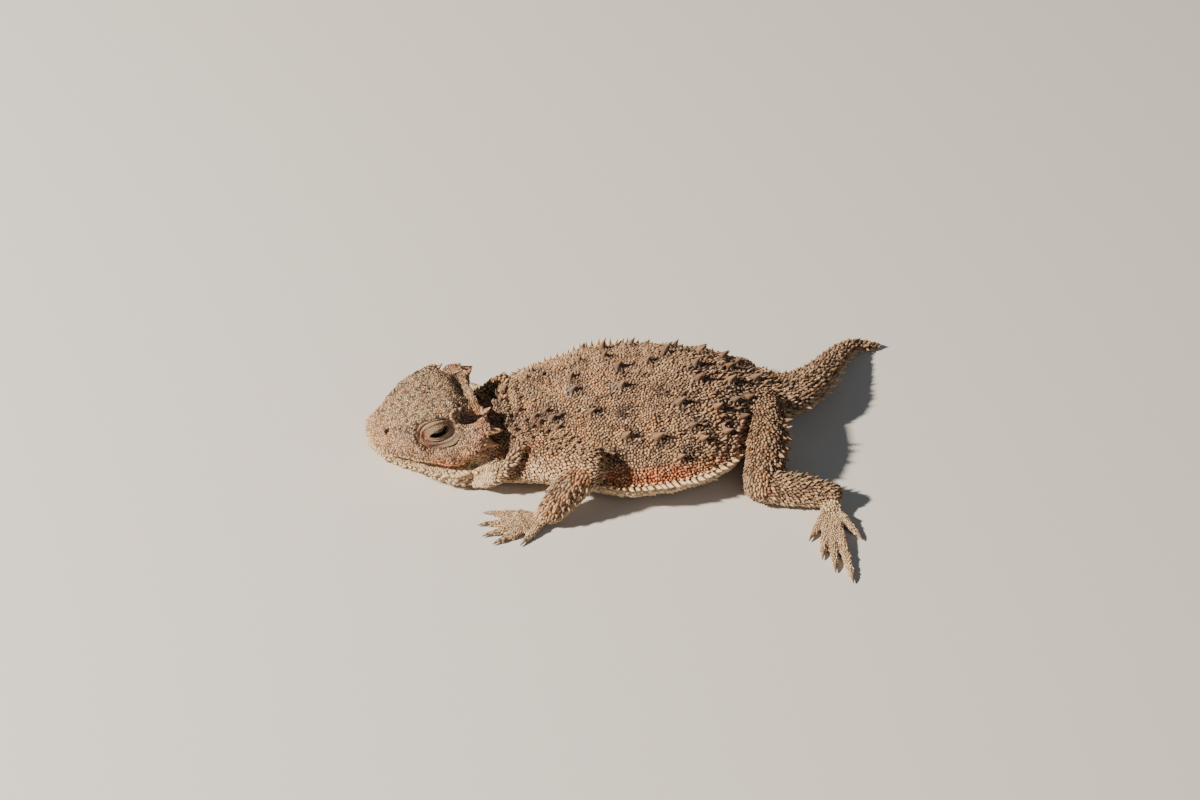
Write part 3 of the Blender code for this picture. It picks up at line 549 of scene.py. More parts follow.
# Shader helpers: expressions on sockets add their nodes

class Value:
    def __init__(self, look, socket):
        self.look, self.socket = look, socket

    def math(self, operation, other, swapped=False):
        pair = [other, self] if swapped else [self, other]
        return self.look.node("Math", {"operation": operation}, dict(enumerate(pair)))

    def __add__(self, other):
        return self.math("ADD", other)

    def __mul__(self, other):
        return self.math("MULTIPLY", other)

    def __sub__(self, other):
        return self.math("SUBTRACT", other)

    def __rsub__(self, other):
        return self.math("SUBTRACT", other, swapped=True)

    def __pow__(self, other):
        return self.math("POWER", other)

    __radd__, __rmul__ = __add__, __mul__


class Look:  # one material under way
    def __init__(self, name):
        self.material = bpy.data.materials.new(name)
        self.material.use_nodes = True
        self.tree = self.material.node_tree
        self.shader = self.tree.nodes["Principled BSDF"]

    def node(self, kind, settings=None, values=None, output=0):
        made = self.tree.nodes.new("ShaderNode" + kind)
        for key, value in (settings or {}).items():
            if key == "stops":
                while len(made.color_ramp.elements) < len(value):
                    made.color_ramp.elements.new(0.5)
                for element, (place, colour) in zip(made.color_ramp.elements, value):
                    element.position, element.color = place, (*colour, 1)
            else:
                setattr(made, key, value)
        for key, value in (values or {}).items():
            self.feed(made.inputs[key], value)
        return Value(self, made.outputs[output])

    def feed(self, socket, value):
        if isinstance(value, Value):
            self.tree.links.new(value.socket, socket)
        elif isinstance(value, tuple) and len(value) == 3 and socket.type == "RGBA":
            socket.default_value = (*value, 1)
        else:
            socket.default_value = value

    def mix(self, share, a, b, blend="MIX"):
        made = self.tree.nodes.new("ShaderNodeMix")
        made.data_type, made.blend_type = "RGBA", blend
        for socket, value in ((made.inputs[0], share), (made.inputs[6], a), (made.inputs[7], b)):
            self.feed(socket, value)
        return Value(self, made.outputs[2])

    def marks(self, name):  # the four masks of a colour attribute
        made = self.tree.nodes.new("ShaderNodeAttribute")
        made.attribute_name = name
        parts = self.tree.nodes.new("ShaderNodeSeparateColor")
        self.tree.links.new(made.outputs["Color"], parts.inputs[0])
        return [Value(self, s) for s in (*parts.outputs[:3], made.outputs["Alpha"])]

    def noise(self, scale, detail=2.0, roughness=0.5, low=0.35, high=0.65):  # scale in features a millimetre
        place = self.node("TexCoord", output=3)
        grain = self.node("TexNoise", None, {"Vector": place, "Scale": scale / mm, "Detail": detail,
                                             "Roughness": roughness})
        return self.node("MapRange", {"interpolation_type": "SMOOTHSTEP"}, {0: grain, 1: low, 2: high})


def hideLook(name, scaly):  # the same markings on the bare skin and on its scales
    look = Look(name)
    pale, orange, dark, salmon = look.marks("marksOne")
    green, blue, tint, height = look.marks("marksTwo")
    broad, mottle, fleck = look.noise(0.16), look.noise(0.5, 3.0), look.noise(1.5, 2.0, 0.6)
    warm = look.noise(0.33, 2.0, 0.5, 0.56, 0.7)
    colour = look.mix(broad, (0.31, 0.185, 0.11), (0.49, 0.29, 0.145))
    colour = look.mix(mottle * 0.6, colour, (0.20, 0.135, 0.095))
    colour = look.mix(warm * 0.6, colour, (0.52, 0.19, 0.07))
    colour = look.mix(look.noise(0.85, 3.0, 0.6, 0.5, 0.66) * 0.4, colour, (0.64, 0.31, 0.13))
    colour = look.mix(look.noise(1.3, 2.0, 0.6, 0.54, 0.68) * 0.4, colour, (0.35, 0.32, 0.28))
    colour = look.mix(look.noise(0.24, 2.0, 0.5, 0.55, 0.72) * 0.45, colour, (0.60, 0.44, 0.25))
    colour = look.mix(green * 0.8, colour, (0.25, 0.20, 0.125))
    colour = look.mix(green * look.noise(0.9, 3.0, 0.6, 0.5, 0.6) * 0.6, colour, (0.42, 0.17, 0.08))
    colour = look.mix(green * look.noise(1.9, 2.0, 0.6, 0.52, 0.6) * 0.7, colour, (0.10, 0.075, 0.055))
    colour = look.mix(blue * 0.75, colour, (0.26, 0.25, 0.26))
    colour = look.mix(dark * (0.72 + 0.25 * mottle), colour, (0.07, 0.042, 0.036))
    colour = look.mix(orange * (0.55 + 0.4 * broad), colour, (0.60, 0.135, 0.04))
    colour = look.mix(salmon * 0.75, colour, (0.52, 0.22, 0.15))
    colour = look.mix(pale * (0.74 + 0.2 * broad), colour, (0.80, 0.60, 0.37))
    colour = look.mix(fleck * 0.22, colour, (0.09, 0.055, 0.04))
    if scaly:
        colour = look.mix((tint ** 2.0) * 0.55, colour, (0.72, 0.50, 0.31))
        colour = look.mix(((1 - tint) ** 3) * 0.65, colour, (0.09, 0.055, 0.04))
        colour = look.mix(green * ((1 - tint) ** 7), colour, (0.05, 0.04, 0.035))
        # painted shade: each scale darker towards its root, as if shaded in the gaps between scales
        colour = look.mix(((1 - height) ** 1.5) * 0.82, colour, (0.075, 0.038, 0.024))
    else:
        # painted shade: the bare skin, seen only in the gaps between scales, is darkened as if shaded
        colour = look.mix(0.6, colour, (0.08, 0.042, 0.028))
    look.feed(look.shader.inputs["Base Color"], colour)
    look.feed(look.shader.inputs["Roughness"], 0.6 + 0.25 * fleck)
    look.shader.inputs["Specular IOR Level"].default_value = 0.3
    grain = look.noise(6.0 if scaly else 2.6, 3.0, 0.6, 0.2, 0.8)
    look.feed(look.shader.inputs["Normal"], look.node("Bump", None, {"Strength": 0.4, "Distance": 0.05 * mm,
                                                                     "Height": grain}))
    return look.material


# Camera, floor and light

camera = {"azimuth": math.radians(-11), "elevation": math.radians(40), "lens": 100.0, "across": 166.667,
          "aside": -3.681, "above": 4.444}


def makeCamera():
    a, e = camera["azimuth"], camera["elevation"]
    right = Vector((math.cos(a), math.sin(a), 0))
    back = Vector((math.sin(a) * math.cos(e), -math.cos(a) * math.cos(e), math.sin(e)))
    up = back.cross(right)
    made = bpy.data.cameras.new("camera")
    made.lens, made.sensor_width, made.clip_start = camera["lens"], 36.0, 0.01
    rig = bpy.data.objects.new("camera", made)
    bpy.context.scene.collection.objects.link(rig)
    distance = camera["across"] * camera["lens"] / 36.0
    turn = Matrix((right, up, back)).transposed().to_4x4()
    target = right * camera["aside"] + up * camera["above"]
    rig.matrix_world = Matrix.Translation((target + back * distance) * mm) @ turn
    bpy.context.scene.camera = rig


def makeLamp(name, place, size, power, colour):
    lamp = bpy.data.lights.new(name, "AREA")
    lamp.size, lamp.energy, lamp.color = size, power, colour
    rig = bpy.data.objects.new(name, lamp)
    bpy.context.scene.collection.objects.link(rig)
    rig.location = place
    rig.rotation_euler = Vector(place).to_track_quat("Z", "Y").to_euler()


def makeStage():
    bm = bmesh.new()
    bmesh.ops.create_grid(bm, x_segments=1, y_segments=1, size=2.0)
    floor = fromBmesh(bm, "floor")
    look = Look("studioFloor")
    look.shader.inputs["Base Color"].default_value = (0.62, 0.60, 0.57, 1)
    look.shader.inputs["Roughness"].default_value = 0.9
    floor.data.materials.append(look.material)
    makeLamp("sun", (-0.66, -0.06, 0.47), 0.05, 20.0, (1.0, 0.89, 0.75))
    makeLamp("fill", (0.3, -0.7, 0.5), 0.8, 0.95, (0.86, 0.92, 1.0))
    world = bpy.data.worlds.new("studio")
    world.use_nodes = True
    world.node_tree.nodes["Background"].inputs[0].default_value = (0.75, 0.8, 0.86, 1)
    world.node_tree.nodes["Background"].inputs[1].default_value = 0.115
    bpy.context.scene.world = world


makeCamera()
makeStage()
skinMaterial, scaleMaterial = hideLook("hide", False), hideLook("scales", True)


def paint(mesh, name, columns):  # four masks a point, as a colour attribute
    layer = mesh.attributes.new(name, "FLOAT_COLOR", "POINT")
    layer.data.foreach_set("color", np.column_stack(columns).astype(np.float32).ravel())


def spread(points, places, radii):  # soft spots about places
    result = np.zeros(len(points))
    for place, radius in zip(places, radii):
        gap = np.linalg.norm(points - place, axis=1)
        result = np.maximum(result, step01(radius, radius * 0.55, gap))
    return result


def markings(points, found):
    x, y, z = points.T
    part, angle, place = found["part"], found["angle"], found["place"]
    one = np.zeros(len(points))
    body = part == 0
    within = np.clip(x, trunk["front"], trunk["rear"])
    climbing = farRise(x) * (y > trunkMiddle(x))
    rise = np.where(body, z - curve(trunk["flank"], within) - 2.3 * climbing, 9.0)
    pale = np.where(body, step01(0.25, -0.35, rise - 1.6 * step01(-9, -13, x)), one)
    leftSide = mirrored(points)
    throat = step01(1.6, 1.2, strokeGap(leftSide, throatFold["path"]))
    pale = np.where(body, np.maximum(pale, throat * 0.7 * step01(7.2, 5.2, z)), pale)
    band = step01(0.0, 0.3, rise) * step01(2.6, 1.5, rise + 0.07 * np.maximum(x, 0)) * step01(-9, -5, x)
    orange = np.where(body, band * step01(15, 3, x) * (1 - climbing), one)
    creases = np.maximum(bump(strokeGap(leftSide, bodyStrokes[0][0]), 0, 0.6),
                         bump(strokeGap(leftSide, bodyStrokes[3][0]), 0, 0.5))
    armpit = ((-18.3, -9.9, 2.2), (-17.0, -10.0, 3.6), (-15.7, -9.7, 4.9), (-14.3, -9.2, 5.8), (-12.9, -8.6, 6.4))
    creases = np.maximum(creases, 0.9 * bump(strokeGap(leftSide, armpit), 0, 0.55))
    orange = np.where(body | (part == 3), np.maximum(orange, creases), orange)
    back, out, up = toHead(points).T
    onHead = part == 1
    wide = np.abs(out)
    lip = curve(((0, 0.1), (3.2, 0.25), (6.6, 0.55), (10.6, 0.9), (14.4, 3.0)), np.clip(back, 0, 14.4))
    pale = np.where(onHead, step01(0.75, -0.1, up - lip), pale)
    green = np.where(onHead, step01(2.4, 4.2, up) * step01(12, 9, back), one)
    salmon = np.where(onHead, step01(11.0, 13.0, back) * step01(2.2, 3.4, up) * step01(5.0, 6.6, wide), one)
    cheek = step01(1.0, 2.0, up - lip) * step01(4.0, 3.0, up) * 0.3
    salmon = np.where(onHead, np.maximum(salmon, cheek), salmon)
    streak = bump(up - lip, 0.95, 0.55) * step01(6.6, 7.8, back) * step01(12.2, 11.2, back) * (wide > 5)
    orange = np.where(onHead, np.minimum(1, 1.3 * streak), orange)
    limb = part >= 3
    under = step01(0.1, -0.6, np.sin(angle))
    facing = np.cos(angle) * np.where(y < 0, 1, -1) - 0.7 * np.sin(angle)
    under = np.where(limb & (part == 3) & (x < -5), step01(0.05, 1.1, facing) * step01(-7.5, -10, x), under)
    under = np.where(limb & (part == 3) & (x > 5), step01(0.6, 1.1, -facing - 1.4 * np.sin(angle)), under)
    pale = np.where(limb | (part == 2), under, pale)
    pale = np.where(body | (part == 3), pale * (1 - 0.85 * creases), pale)
    pale = np.where(part >= 5, np.where(x > 0, 1.0, 0.82), pale)
    blotch = spread(leftSide, ((-11.6, -5.6, 8.6), (-13.6, -5.2, 8.6), (-12.4, -3.4, 9.2), (-16.8, -4.3, 8.2),
                               (-17.6, -1.6, 8.8)), (2.6, 2.0, 1.8, 1.7, 1.5))
    # painted shadow and pigment: a dark spot just behind each large spine, on the side away from the sun, stands for
    # the spine's cast shadow as well as the dark skin at its foot
    spineShadowsAndSpots = spread(leftSide, np.array([trunkPoint(a + 0.9, math.radians(max(b, 180 - b))) for a, b, c in backSpines]),
                   np.array([1.0 + 0.75 * c for a, b, c in backSpines]))
    # painted shade: the back grows darker towards the rear and higher above the flank
    shade = 0.35 * step01(4, 16, x) * step01(2.0, 5.0, rise)
    dark = np.where(body, np.clip(np.maximum(blotch * 0.85, spineShadowsAndSpots) + shade, 0, 1), one)
    # painted shadow in the pit behind the head, where the head's shadow falls on the neck
    pitShadow = bump(strokeGap(leftSide, bodyStrokes[2][0]), 0, 1.1)
    nape = 0.2 * step01(-14, -17, x) * step01(2.4, 3.6, rise)
    dark = np.where(body, np.maximum(dark, np.maximum(0.9 * pitShadow, nape)), dark)
    # painted shade: the tail, the hind shanks and the hind thighs are darkened evenly
    dark = np.where(part == 2, 0.38, dark)
    dark = np.where((part == 4) & (x > 5), 0.38, np.where((part == 3) & (x > 5), 0.25, dark))
    # painted shade inside the nostrils and ear openings, and painted shadow in the hollow behind the brow
    hollow = step01(1.5, 0.9, openingGap(back, out, up))
    dark = np.where(onHead, np.maximum(0.55 * bump(np.hypot(back - 10.6, up - 8.2), 0, 1.4), hollow), dark)
    blue = np.where(body, spread(points, ((-8.3, -2.1, 10.1), (-2.4, -2.9, 10.7)), (0.9, 0.9)), one)
    return pale, orange, dark, salmon, green, blue


# Scales: small closed shapes set side by side on the skin

def scaleShape(sides, rings, stretch=1.0):  # rings as (radius, height, shift back), from the root up
    bm = bmesh.new()
    bmesh.ops.create_circle(bm, cap_ends=True, segments=sides, radius=1)
    top, radius, height, shift = bm.faces[:][0], 1.0, 0.0, 0.0
    for k, (nextRadius, nextHeight, nextShift) in enumerate(rings):
        if k:
            made = bmesh.ops.extrude_face_region(bm, geom=[top], use_keep_orig=k == 1)
            top = [g for g in made["geom"] if isinstance(g, bmesh.types.BMFace)][0]
        for v in top.verts:
            v.co = ((v.co.x - shift) * nextRadius / radius + nextShift, v.co.y * nextRadius / radius, nextHeight)
        radius, height, shift = nextRadius, nextHeight, nextShift
    bmesh.ops.scale(bm, vec=(stretch, 1, 1), verts=bm.verts)
    bmesh.ops.recalc_face_normals(bm, faces=bm.faces)
    bm.verts.index_update()
    points = np.array([v.co for v in bm.verts])
    faces = [[v.index for v in f.verts] for f in bm.faces]
    bm.free()
    low, high = rings[0][1], rings[-1][1]
    return {"points": points, "faces": faces, "height": np.clip((points[:, 2] - low) / (high - low), 0, 1)}


shapes = {
    "granule": scaleShape(6, ((0.95, -0.6, 0), (1.0, 0.2, 0), (0.5, 1.0, 0.06))),
    "keeled": scaleShape(6, ((0.9, -0.5, 0), (1.0, 0.1, 0), (0.55, 0.62, 0.3), (0.1, 1.0, 0.85)), 1.15),
    "plate": scaleShape(6, ((0.95, -0.8, 0), (1.0, 0.3, 0), (0.62, 1.0, 0))),
    "shield": scaleShape(8, ((0.9, -0.6, 0), (1.0, 0.2, 0), (0.8, 0.7, 0.05), (0.3, 1.0, 0.25)), 1.35),
    "flat": scaleShape(6, ((0.95, -0.5, 0), (1.0, 0.3, 0), (0.7, 1.0, 0.1)), 1.1),
    "spine": scaleShape(7, ((1.15, -0.5, -0.1), (1.0, 0.05, 0), (0.62, 0.38, 0.12), (0.3, 0.72, 0.5),
                            (0.05, 1.0, 0.95))),
    "fringe": scaleShape(6, ((0.8, -0.5, 0), (1.0, 0.0, 0.05), (0.72, 0.4, 0.2), (0.36, 0.75, 0.5),
                             (0.06, 1.0, 0.85))),
}


def unwrap(part, limb, place, angle):  # the skin's own shape laid flat: each part in its own rectangle
    corner = np.zeros((len(part), 4))
    corner[part == 0] = (0.01, 0.01, 0.42, 0.52)
    corner[part == 1] = (0.44, 0.01, 0.16, 0.52)
    corner[part == 2] = (0.61, 0.01, 0.38, 0.2)
    for kind, left in ((3, 0.61), (4, 0.8)):
        rows = part == kind
        corner[rows] = np.column_stack((np.full(rows.sum(), left), 0.22 + 0.13 * limb[rows],
                                        np.full(rows.sum(), 0.18), np.full(rows.sum(), 0.11)))
    rows = part == 5
    corner[rows] = np.column_stack((0.01 + 0.145 * limb[rows], np.full(rows.sum(), 0.55),
                                    np.full(rows.sum(), 0.13), np.full(rows.sum(), 0.12)))
    rows = part == 6
    corner[rows] = np.column_stack((0.01 + 0.0565 * (limb[rows] % 10), 0.69 + 0.15 * (limb[rows] // 10),
                                    np.full(rows.sum(), 0.05), np.full(rows.sum(), 0.12)))
    return np.column_stack((corner[:, 0] + corner[:, 2] * np.clip(place, 0, 1),
                            corner[:, 1] + corner[:, 3] * (angle / (2 * np.pi) + 0.5)))


class Hide:  # the finished skin as arrays, with everything a scale needs to know about its root
    def __init__(self, mesh, points, found, marks):
        self.points, self.found, self.marks = points, found, np.column_stack(marks)
        mesh.calc_loop_triangles()
        flat = np.empty(len(mesh.loop_triangles) * 3, np.int32)
        mesh.loop_triangles.foreach_get("vertices", flat)
        self.triangles = flat.reshape(-1, 3)
        self.normals = meshNormals(mesh)
        self.tree = BVHTree.FromPolygons(points.tolist(), self.triangles.tolist())
        self.uv = unwrap(found["part"], found["limb"], found["place"], found["angle"])

    def seat(self, places):  # the nearest skin, and its normal, lie, marks and place on the unwrap
        hits = [self.tree.find_nearest(Vector(p)) for p in places]
        roots = np.array([h[0] for h in hits])
        corners = self.triangles[[h[2] for h in hits]]
        weights = 1 / (np.linalg.norm(self.points[corners] - roots[:, None], axis=2) + 1e-4)
        weights = (weights / weights.sum(axis=1, keepdims=True))[:, :, None]
        blend = lambda values: (values[corners] * weights).sum(axis=1)
        first = corners[np.arange(len(corners)), weights[:, :, 0].argmax(axis=1)]
        normals = unit(blend(self.normals))
        lies = self.found["lie"][first]
        lies = unit(lies - normals * dot(lies, normals)[:, None])
        return {"roots": roots, "normals": normals, "lies": lies, "marks": blend(self.marks),
                "uv": self.uv[first], "part": self.found["part"][first], "place": self.found["place"][first],
                "angle": self.found["angle"][first], "limb": self.found["limb"][first]}


def picked(seats, rows):
    return {key: value[rows] for key, value in seats.items()}


def scatter(hide, spacing, relaxing=3):  # evenly spread roots, as far apart as spacing says at each skin point
    a, b, c = (hide.points[hide.triangles[:, k]] for k in range(3))
    area = np.linalg.norm(np.cross(b - a, c - a), axis=1) / 2
    near = spacing[hide.triangles].mean(axis=1)
    want = area / near**2 * (near < 9)
    count = int(want.sum() * 7)
    face = rng.choice(len(area), count, p=want / want.sum())
    u, v = rng.random(count), rng.random(count)
    fold = u + v > 1
    u[fold], v[fold] = 1 - u[fold], 1 - v[fold]
    tries = a[face] + (b - a)[face] * u[:, None] + (c - a)[face] * v[:, None]
    radius = near[face] * 0.83
    tree = KDTree(count)
    for k, p in enumerate(tries):
        tree.insert(p, k)
    tree.balance()
    open_, kept = np.ones(count, bool), []
    for k in range(count):
        if open_[k]:
            kept.append(k)
            for _, other, _ in tree.find_range(tries[k], radius[k]):
                open_[other] = False
    roots, radius = tries[kept], radius[kept]
    for _ in range(relaxing):
        tree = KDTree(len(roots))
        for k, p in enumerate(roots):
            tree.insert(p, k)
        tree.balance()
        moved = roots.copy()
        for k, p in enumerate(roots):
            push = np.zeros(3)
            for other, n, gap in tree.find_n(p, 6)[1:]:
                push += (p - np.array(other)) / max(gap, 1e-3) * max(0.0, radius[k] * 1.25 - gap)
            moved[k] += push * 0.3
        roots = np.array([hide.tree.find_nearest(Vector(p))[0] for p in moved])
    tree = KDTree(len(roots))
    for k, p in enumerate(roots):
        tree.insert(p, k)
    tree.balance()
    reach = np.array([np.mean([n[2] for n in tree.find_n(p, 5)[1:]]) for p in roots])
    return roots, reach


def dress(name, groups, material):  # groups of (shape, seats, size, lift, tint), joined as one piece
    points, attributes, uvs, loops, starts, counts = [], [], [], [], [], []
    offset = loopOffset = 0
    for shape, seats, size, lift, tint in groups:
        local, count = shape["points"], len(seats["roots"])
        if not count:
            continue
        size, lift, tint = (np.broadcast_to(v, count)[:, None, None] for v in (size, lift, tint))
        side = np.cross(seats["normals"], seats["lies"])
        placed = (seats["roots"][:, None] + size * (seats["lies"][:, None] * local[None, :, 0, None]
                                                    + side[:, None] * local[None, :, 1, None])
                  + lift * seats["normals"][:, None] * local[None, :, 2, None])
        each = len(local)
        points.append(placed.reshape(-1, 3))
        height = np.broadcast_to(shape["height"][None, :, None], (count, each, 1))
        marks = np.broadcast_to(seats["marks"][:, None], (count, each, 6))
        attributes.append(np.concatenate((marks, np.broadcast_to(tint, (count, each, 1)), height), 2).reshape(-1, 8))
        flatFaces = np.array([v for face in shape["faces"] for v in face])
        sizes = np.array([len(face) for face in shape["faces"]])
        loops.append((np.arange(count)[:, None] * each + offset + flatFaces).ravel())
        counts.append(np.tile(sizes, count))
        patch = local[flatFaces, :2] * 0.00145 / np.abs(local[:, :2]).max()
        uvs.append((seats["uv"][:, None] + patch[None]).reshape(-1, 2))
        offset += count * each
    points, attributes, uvs = np.concatenate(points), np.concatenate(attributes), np.concatenate(uvs)
    loops, counts = np.concatenate(loops), np.concatenate(counts)
    points[:, 2] = np.maximum(points[:, 2], skinLook["floor"] / 2)
    mesh = bpy.data.meshes.new(name)
    mesh.vertices.add(len(points))
    mesh.loops.add(len(loops))
    mesh.polygons.add(len(counts))
    mesh.vertices.foreach_set("co", (points * mm).astype(np.float32).ravel())
    mesh.loops.foreach_set("vertex_index", loops.astype(np.int32))
    mesh.polygons.foreach_set("loop_start", np.concatenate(([0], np.cumsum(counts)[:-1])).astype(np.int32))
    mesh.update(calc_edges=True)
    mesh.uv_layers.new(name="OFBake").data.foreach_set("uv", uvs.astype(np.float32).ravel())
    paint(mesh, "marksOne", attributes[:, :4].T)
    paint(mesh, "marksTwo", attributes[:, 4:].T)
    mesh.materials.append(material)
    mesh.shade_smooth()
    piece = bpy.data.objects.new(name, mesh)
    bpy.context.scene.collection.objects.link(piece)
    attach(piece, "root")
    print(name, len(counts), "faces,", int((counts - 2).sum()), "triangles")
    return piece


# The skin takes its folds, its markings and its material

raw = meshPoints(skin.data)
found = bodyPlaces(raw)
steady = np.where(found["part"] >= 5, 0.35, 1.0)[:, None]
points = relaxed(raw, meshEdges(skin.data), skinLook["smoothing"], steady)
setPoints(skin.data, points)
points = sculpted(points, meshNormals(skin.data), found["part"])
points[:, 2] = np.maximum(points[:, 2], skinLook["floor"])
setPoints(skin.data, points)
pale, orange, dark, salmon, green, blue = markings(points, found)
blank = np.zeros(len(points))
paint(skin.data, "marksOne", (pale, orange, dark, salmon))
paint(skin.data, "marksTwo", (green, blue, blank, blank))
skin.data.materials.clear()
skin.data.materials.append(skinMaterial)
skin.data.shade_smooth()
hide = Hide(skin.data, points, found, (pale, orange, dark, salmon, green, blue))
setPoints(skin.data, points * mm)
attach(skin, "root")
fleshNodes = ["head", "jaw", "neck", "torso", "tail_base", "tail_tip"]
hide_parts(*fleshNodes, *[name for limb in limbs.values() for name in limb["replaces"]])


# Spines in known places: the back's large ones, the fringe, the tail's and the limbs' rows

def trunkSeats(rows):
    x, degrees = np.array(rows, float).T[:2]
    return hide.seat(trunkPoint(x, np.radians(degrees)))


def tubeSeats(tube, shares, turns):  # rows of seats round a tube, so many degrees from its right side
    t, turn = (v.ravel() for v in np.meshgrid(shares, np.radians(turns), indexing="ij"))
    centre, forward, across, upright, width, height = tubeFrame(tube, t)
    around = across * np.cos(turn)[:, None] * width[:, None] + upright * np.sin(turn)[:, None] * height[:, None]
    found = hide.seat(centre + around)
    keep = (dot(found["normals"], unit(around)) > 0.3) & (np.linalg.norm(found["roots"] - centre - around,
                                                                         axis=1) < 0.8)
    return picked(found, keep), t[keep]


def fringeSeats(first, last, step, degrees):  # along one flank, a little higher on the right shoulder
    x = np.arange(first, last, step)
    raised = 30 * farRise(x) * (abs(degrees) < 90)
    return hide.seat(trunkPoint(x, np.radians(degrees + raised))), (x - first) / (last - first)


def rosette(seats, size, count=7):  # where the scales that ring a spine stand
    turns = np.linspace(0, 2 * np.pi, count, endpoint=False)
    side = np.cross(seats["normals"], seats["lies"])
    ring = (seats["lies"][:, None] * np.cos(turns)[None, :, None] + side[:, None] * np.sin(turns)[None, :, None])
    around = hide.seat((seats["roots"][:, None] + ring * size[:, None, None]).reshape(-1, 3))
    inward = -ring.reshape(-1, 3)
    around["lies"] = unit(inward - around["normals"] * dot(inward, around["normals"])[:, None])
    return around


def tinted(seats, **changes):  # the seats with some of their markings changed
    names = ("pale", "orange", "dark", "salmon", "green", "blue")
    marks = seats["marks"].copy()
    for name, value in changes.items():
        marks[:, names.index(name)] = value
    return {**seats, "marks": marks}


rows = np.array(backSpines + farSpines)
large = trunkSeats(rows)
largeHeight = rows[:, 2] * rng.uniform(1.0, 1.25, len(rows))
largeRadius = 0.5 + 0.22 * largeHeight
nape = trunkSeats(napeSpines)
napeHeight = np.array(napeSpines)[:, 2]
spineTint = lambda seats: rng.uniform(0.2, 0.9, len(seats["roots"]))
largeGroups = [
    (shapes["spine"], tinted(large, dark=0.4), largeRadius, largeHeight, 0.4 * spineTint(large)),
    (shapes["spine"], tinted(nape, dark=0.75), 0.3 + 0.25 * napeHeight, napeHeight, 0.4 * spineTint(nape)),
]
ring = rosette(large, largeRadius * 1.2)
largeGroups.append((shapes["keeled"], ring, 0.3, 0.42, spineTint(ring)))
dress("spines_back", largeGroups, scaleMaterial)

fringeGroups = []
for degrees, low, first in ((174, 200, -9.5), (6, -20, -11.5)):
    for angle, step, radius, height, start in ((degrees, 0.86, 0.52, 1.2, first), (low, 0.62, 0.32, 0.42, first + 2),
                                               (degrees + (6 if degrees < 90 else -6), 0.95, 0.3, 0.5, first + 0.4)):
        teeth, share = fringeSeats(start, 15.4, step, angle)
        swell = (0.62 + 0.38 * np.sin(np.pi * share)) * rng.uniform(0.85, 1.1, len(share))
        fringeGroups.append((shapes["fringe"], tinted(teeth, pale=1.1, orange=0.0, dark=0.0), radius * swell,
                             height * swell, rng.uniform(0.6, 1.0, len(share))))
dress("spines_fringe", fringeGroups, scaleMaterial)

tailGroups = []
for turns, radius, height, pale_ in (((0, 180), 0.62, 1.15, 0.75), ((45, 90, 135), 0.5, 0.85, 0.0),
                                     ((22, 68, 112, 158), 0.34, 0.5, 0.0)):
    teeth, share = tubeSeats(tail, np.arange(0.1, 0.95, 0.052), turns)
    size = 0.34 + 0.66 * np.interp(share, (0, 1), (1, 0.15))
    tailGroups.append((shapes["spine"], tinted(teeth, pale=pale_), radius * size, height * size, spineTint(teeth)))
dress("spines_tail", tailGroups, scaleMaterial)

limbGroups = []
for key, (upper, lower, hand, digits) in limbParts.items():
    rear = (180, 140, 90) if key.endswith("Left") else (0, 40, 90)
    for tube, shares in ((upper, (0.38, 0.52, 0.66, 0.8, 0.93)), (lower, (0.3, 0.45, 0.6, 0.75, 0.9))):
        teeth, share = tubeSeats(tube, shares, rear)
        limbGroups.append((shapes["spine"], teeth, 0.42, 0.72, spineTint(teeth)))
        teeth, share = tubeSeats(tube, np.array(shares) + 0.07, [turn + 22 for turn in rear])
        limbGroups.append((shapes["spine"], teeth, 0.34, 0.5, spineTint(teeth)))
thigh = hide.seat(np.array(((19.2, -12.2, 5.7), (17.9, -15.1, 5.5), (17.3, -16.5, 5.0), (19.6, -9.2, 6.0),
                            (19.3, -10.6, 5.9), (18.6, -13.7, 5.4))))
limbGroups.append((shapes["spine"], thigh, 0.5, (1.0, 1.0, 0.9, 1.5, 1.1, 0.8), spineTint(thigh)))
dress("spines_limbs", limbGroups, scaleMaterial)


# Horns, claws and eyes

def hornLook(name, root, middle, tip):  # from the root's colour to the tip's
    look = Look(name)
    height = look.marks("marksTwo")[3]
    streak = look.noise(1.2, 3.0, 0.6)
    colour = look.mix(height, look.mix(streak, root, middle), tip)
    look.feed(look.shader.inputs["Base Color"], colour)
    look.shader.inputs["Roughness"].default_value = 0.5
    look.feed(look.shader.inputs["Normal"], look.node("Bump", None, {"Strength": 0.5, "Distance": 0.05 * mm,
                                                                     "Height": look.noise(3.0, 3.0)}))
    return look.material


def eyeLook():
    look = Look("eye")
    look.shader.inputs["Base Color"].default_value = (0.012, 0.009, 0.007, 1)
    look.shader.inputs["Roughness"].default_value = 0.08
    look.shader.inputs["Coat Weight"].default_value = 1.0
    return look.material


hornMaterial = hornLook("horn", (0.40, 0.24, 0.14), (0.27, 0.155, 0.09), (0.46, 0.24, 0.145))
browMaterial = hornLook("brow", (0.24, 0.165, 0.10), (0.15, 0.10, 0.065), (0.17, 0.09, 0.06))
clawMaterial = hornLook("claw", (0.36, 0.24, 0.15), (0.28, 0.18, 0.11), (0.13, 0.08, 0.05))
eyeMaterial = eyeLook()


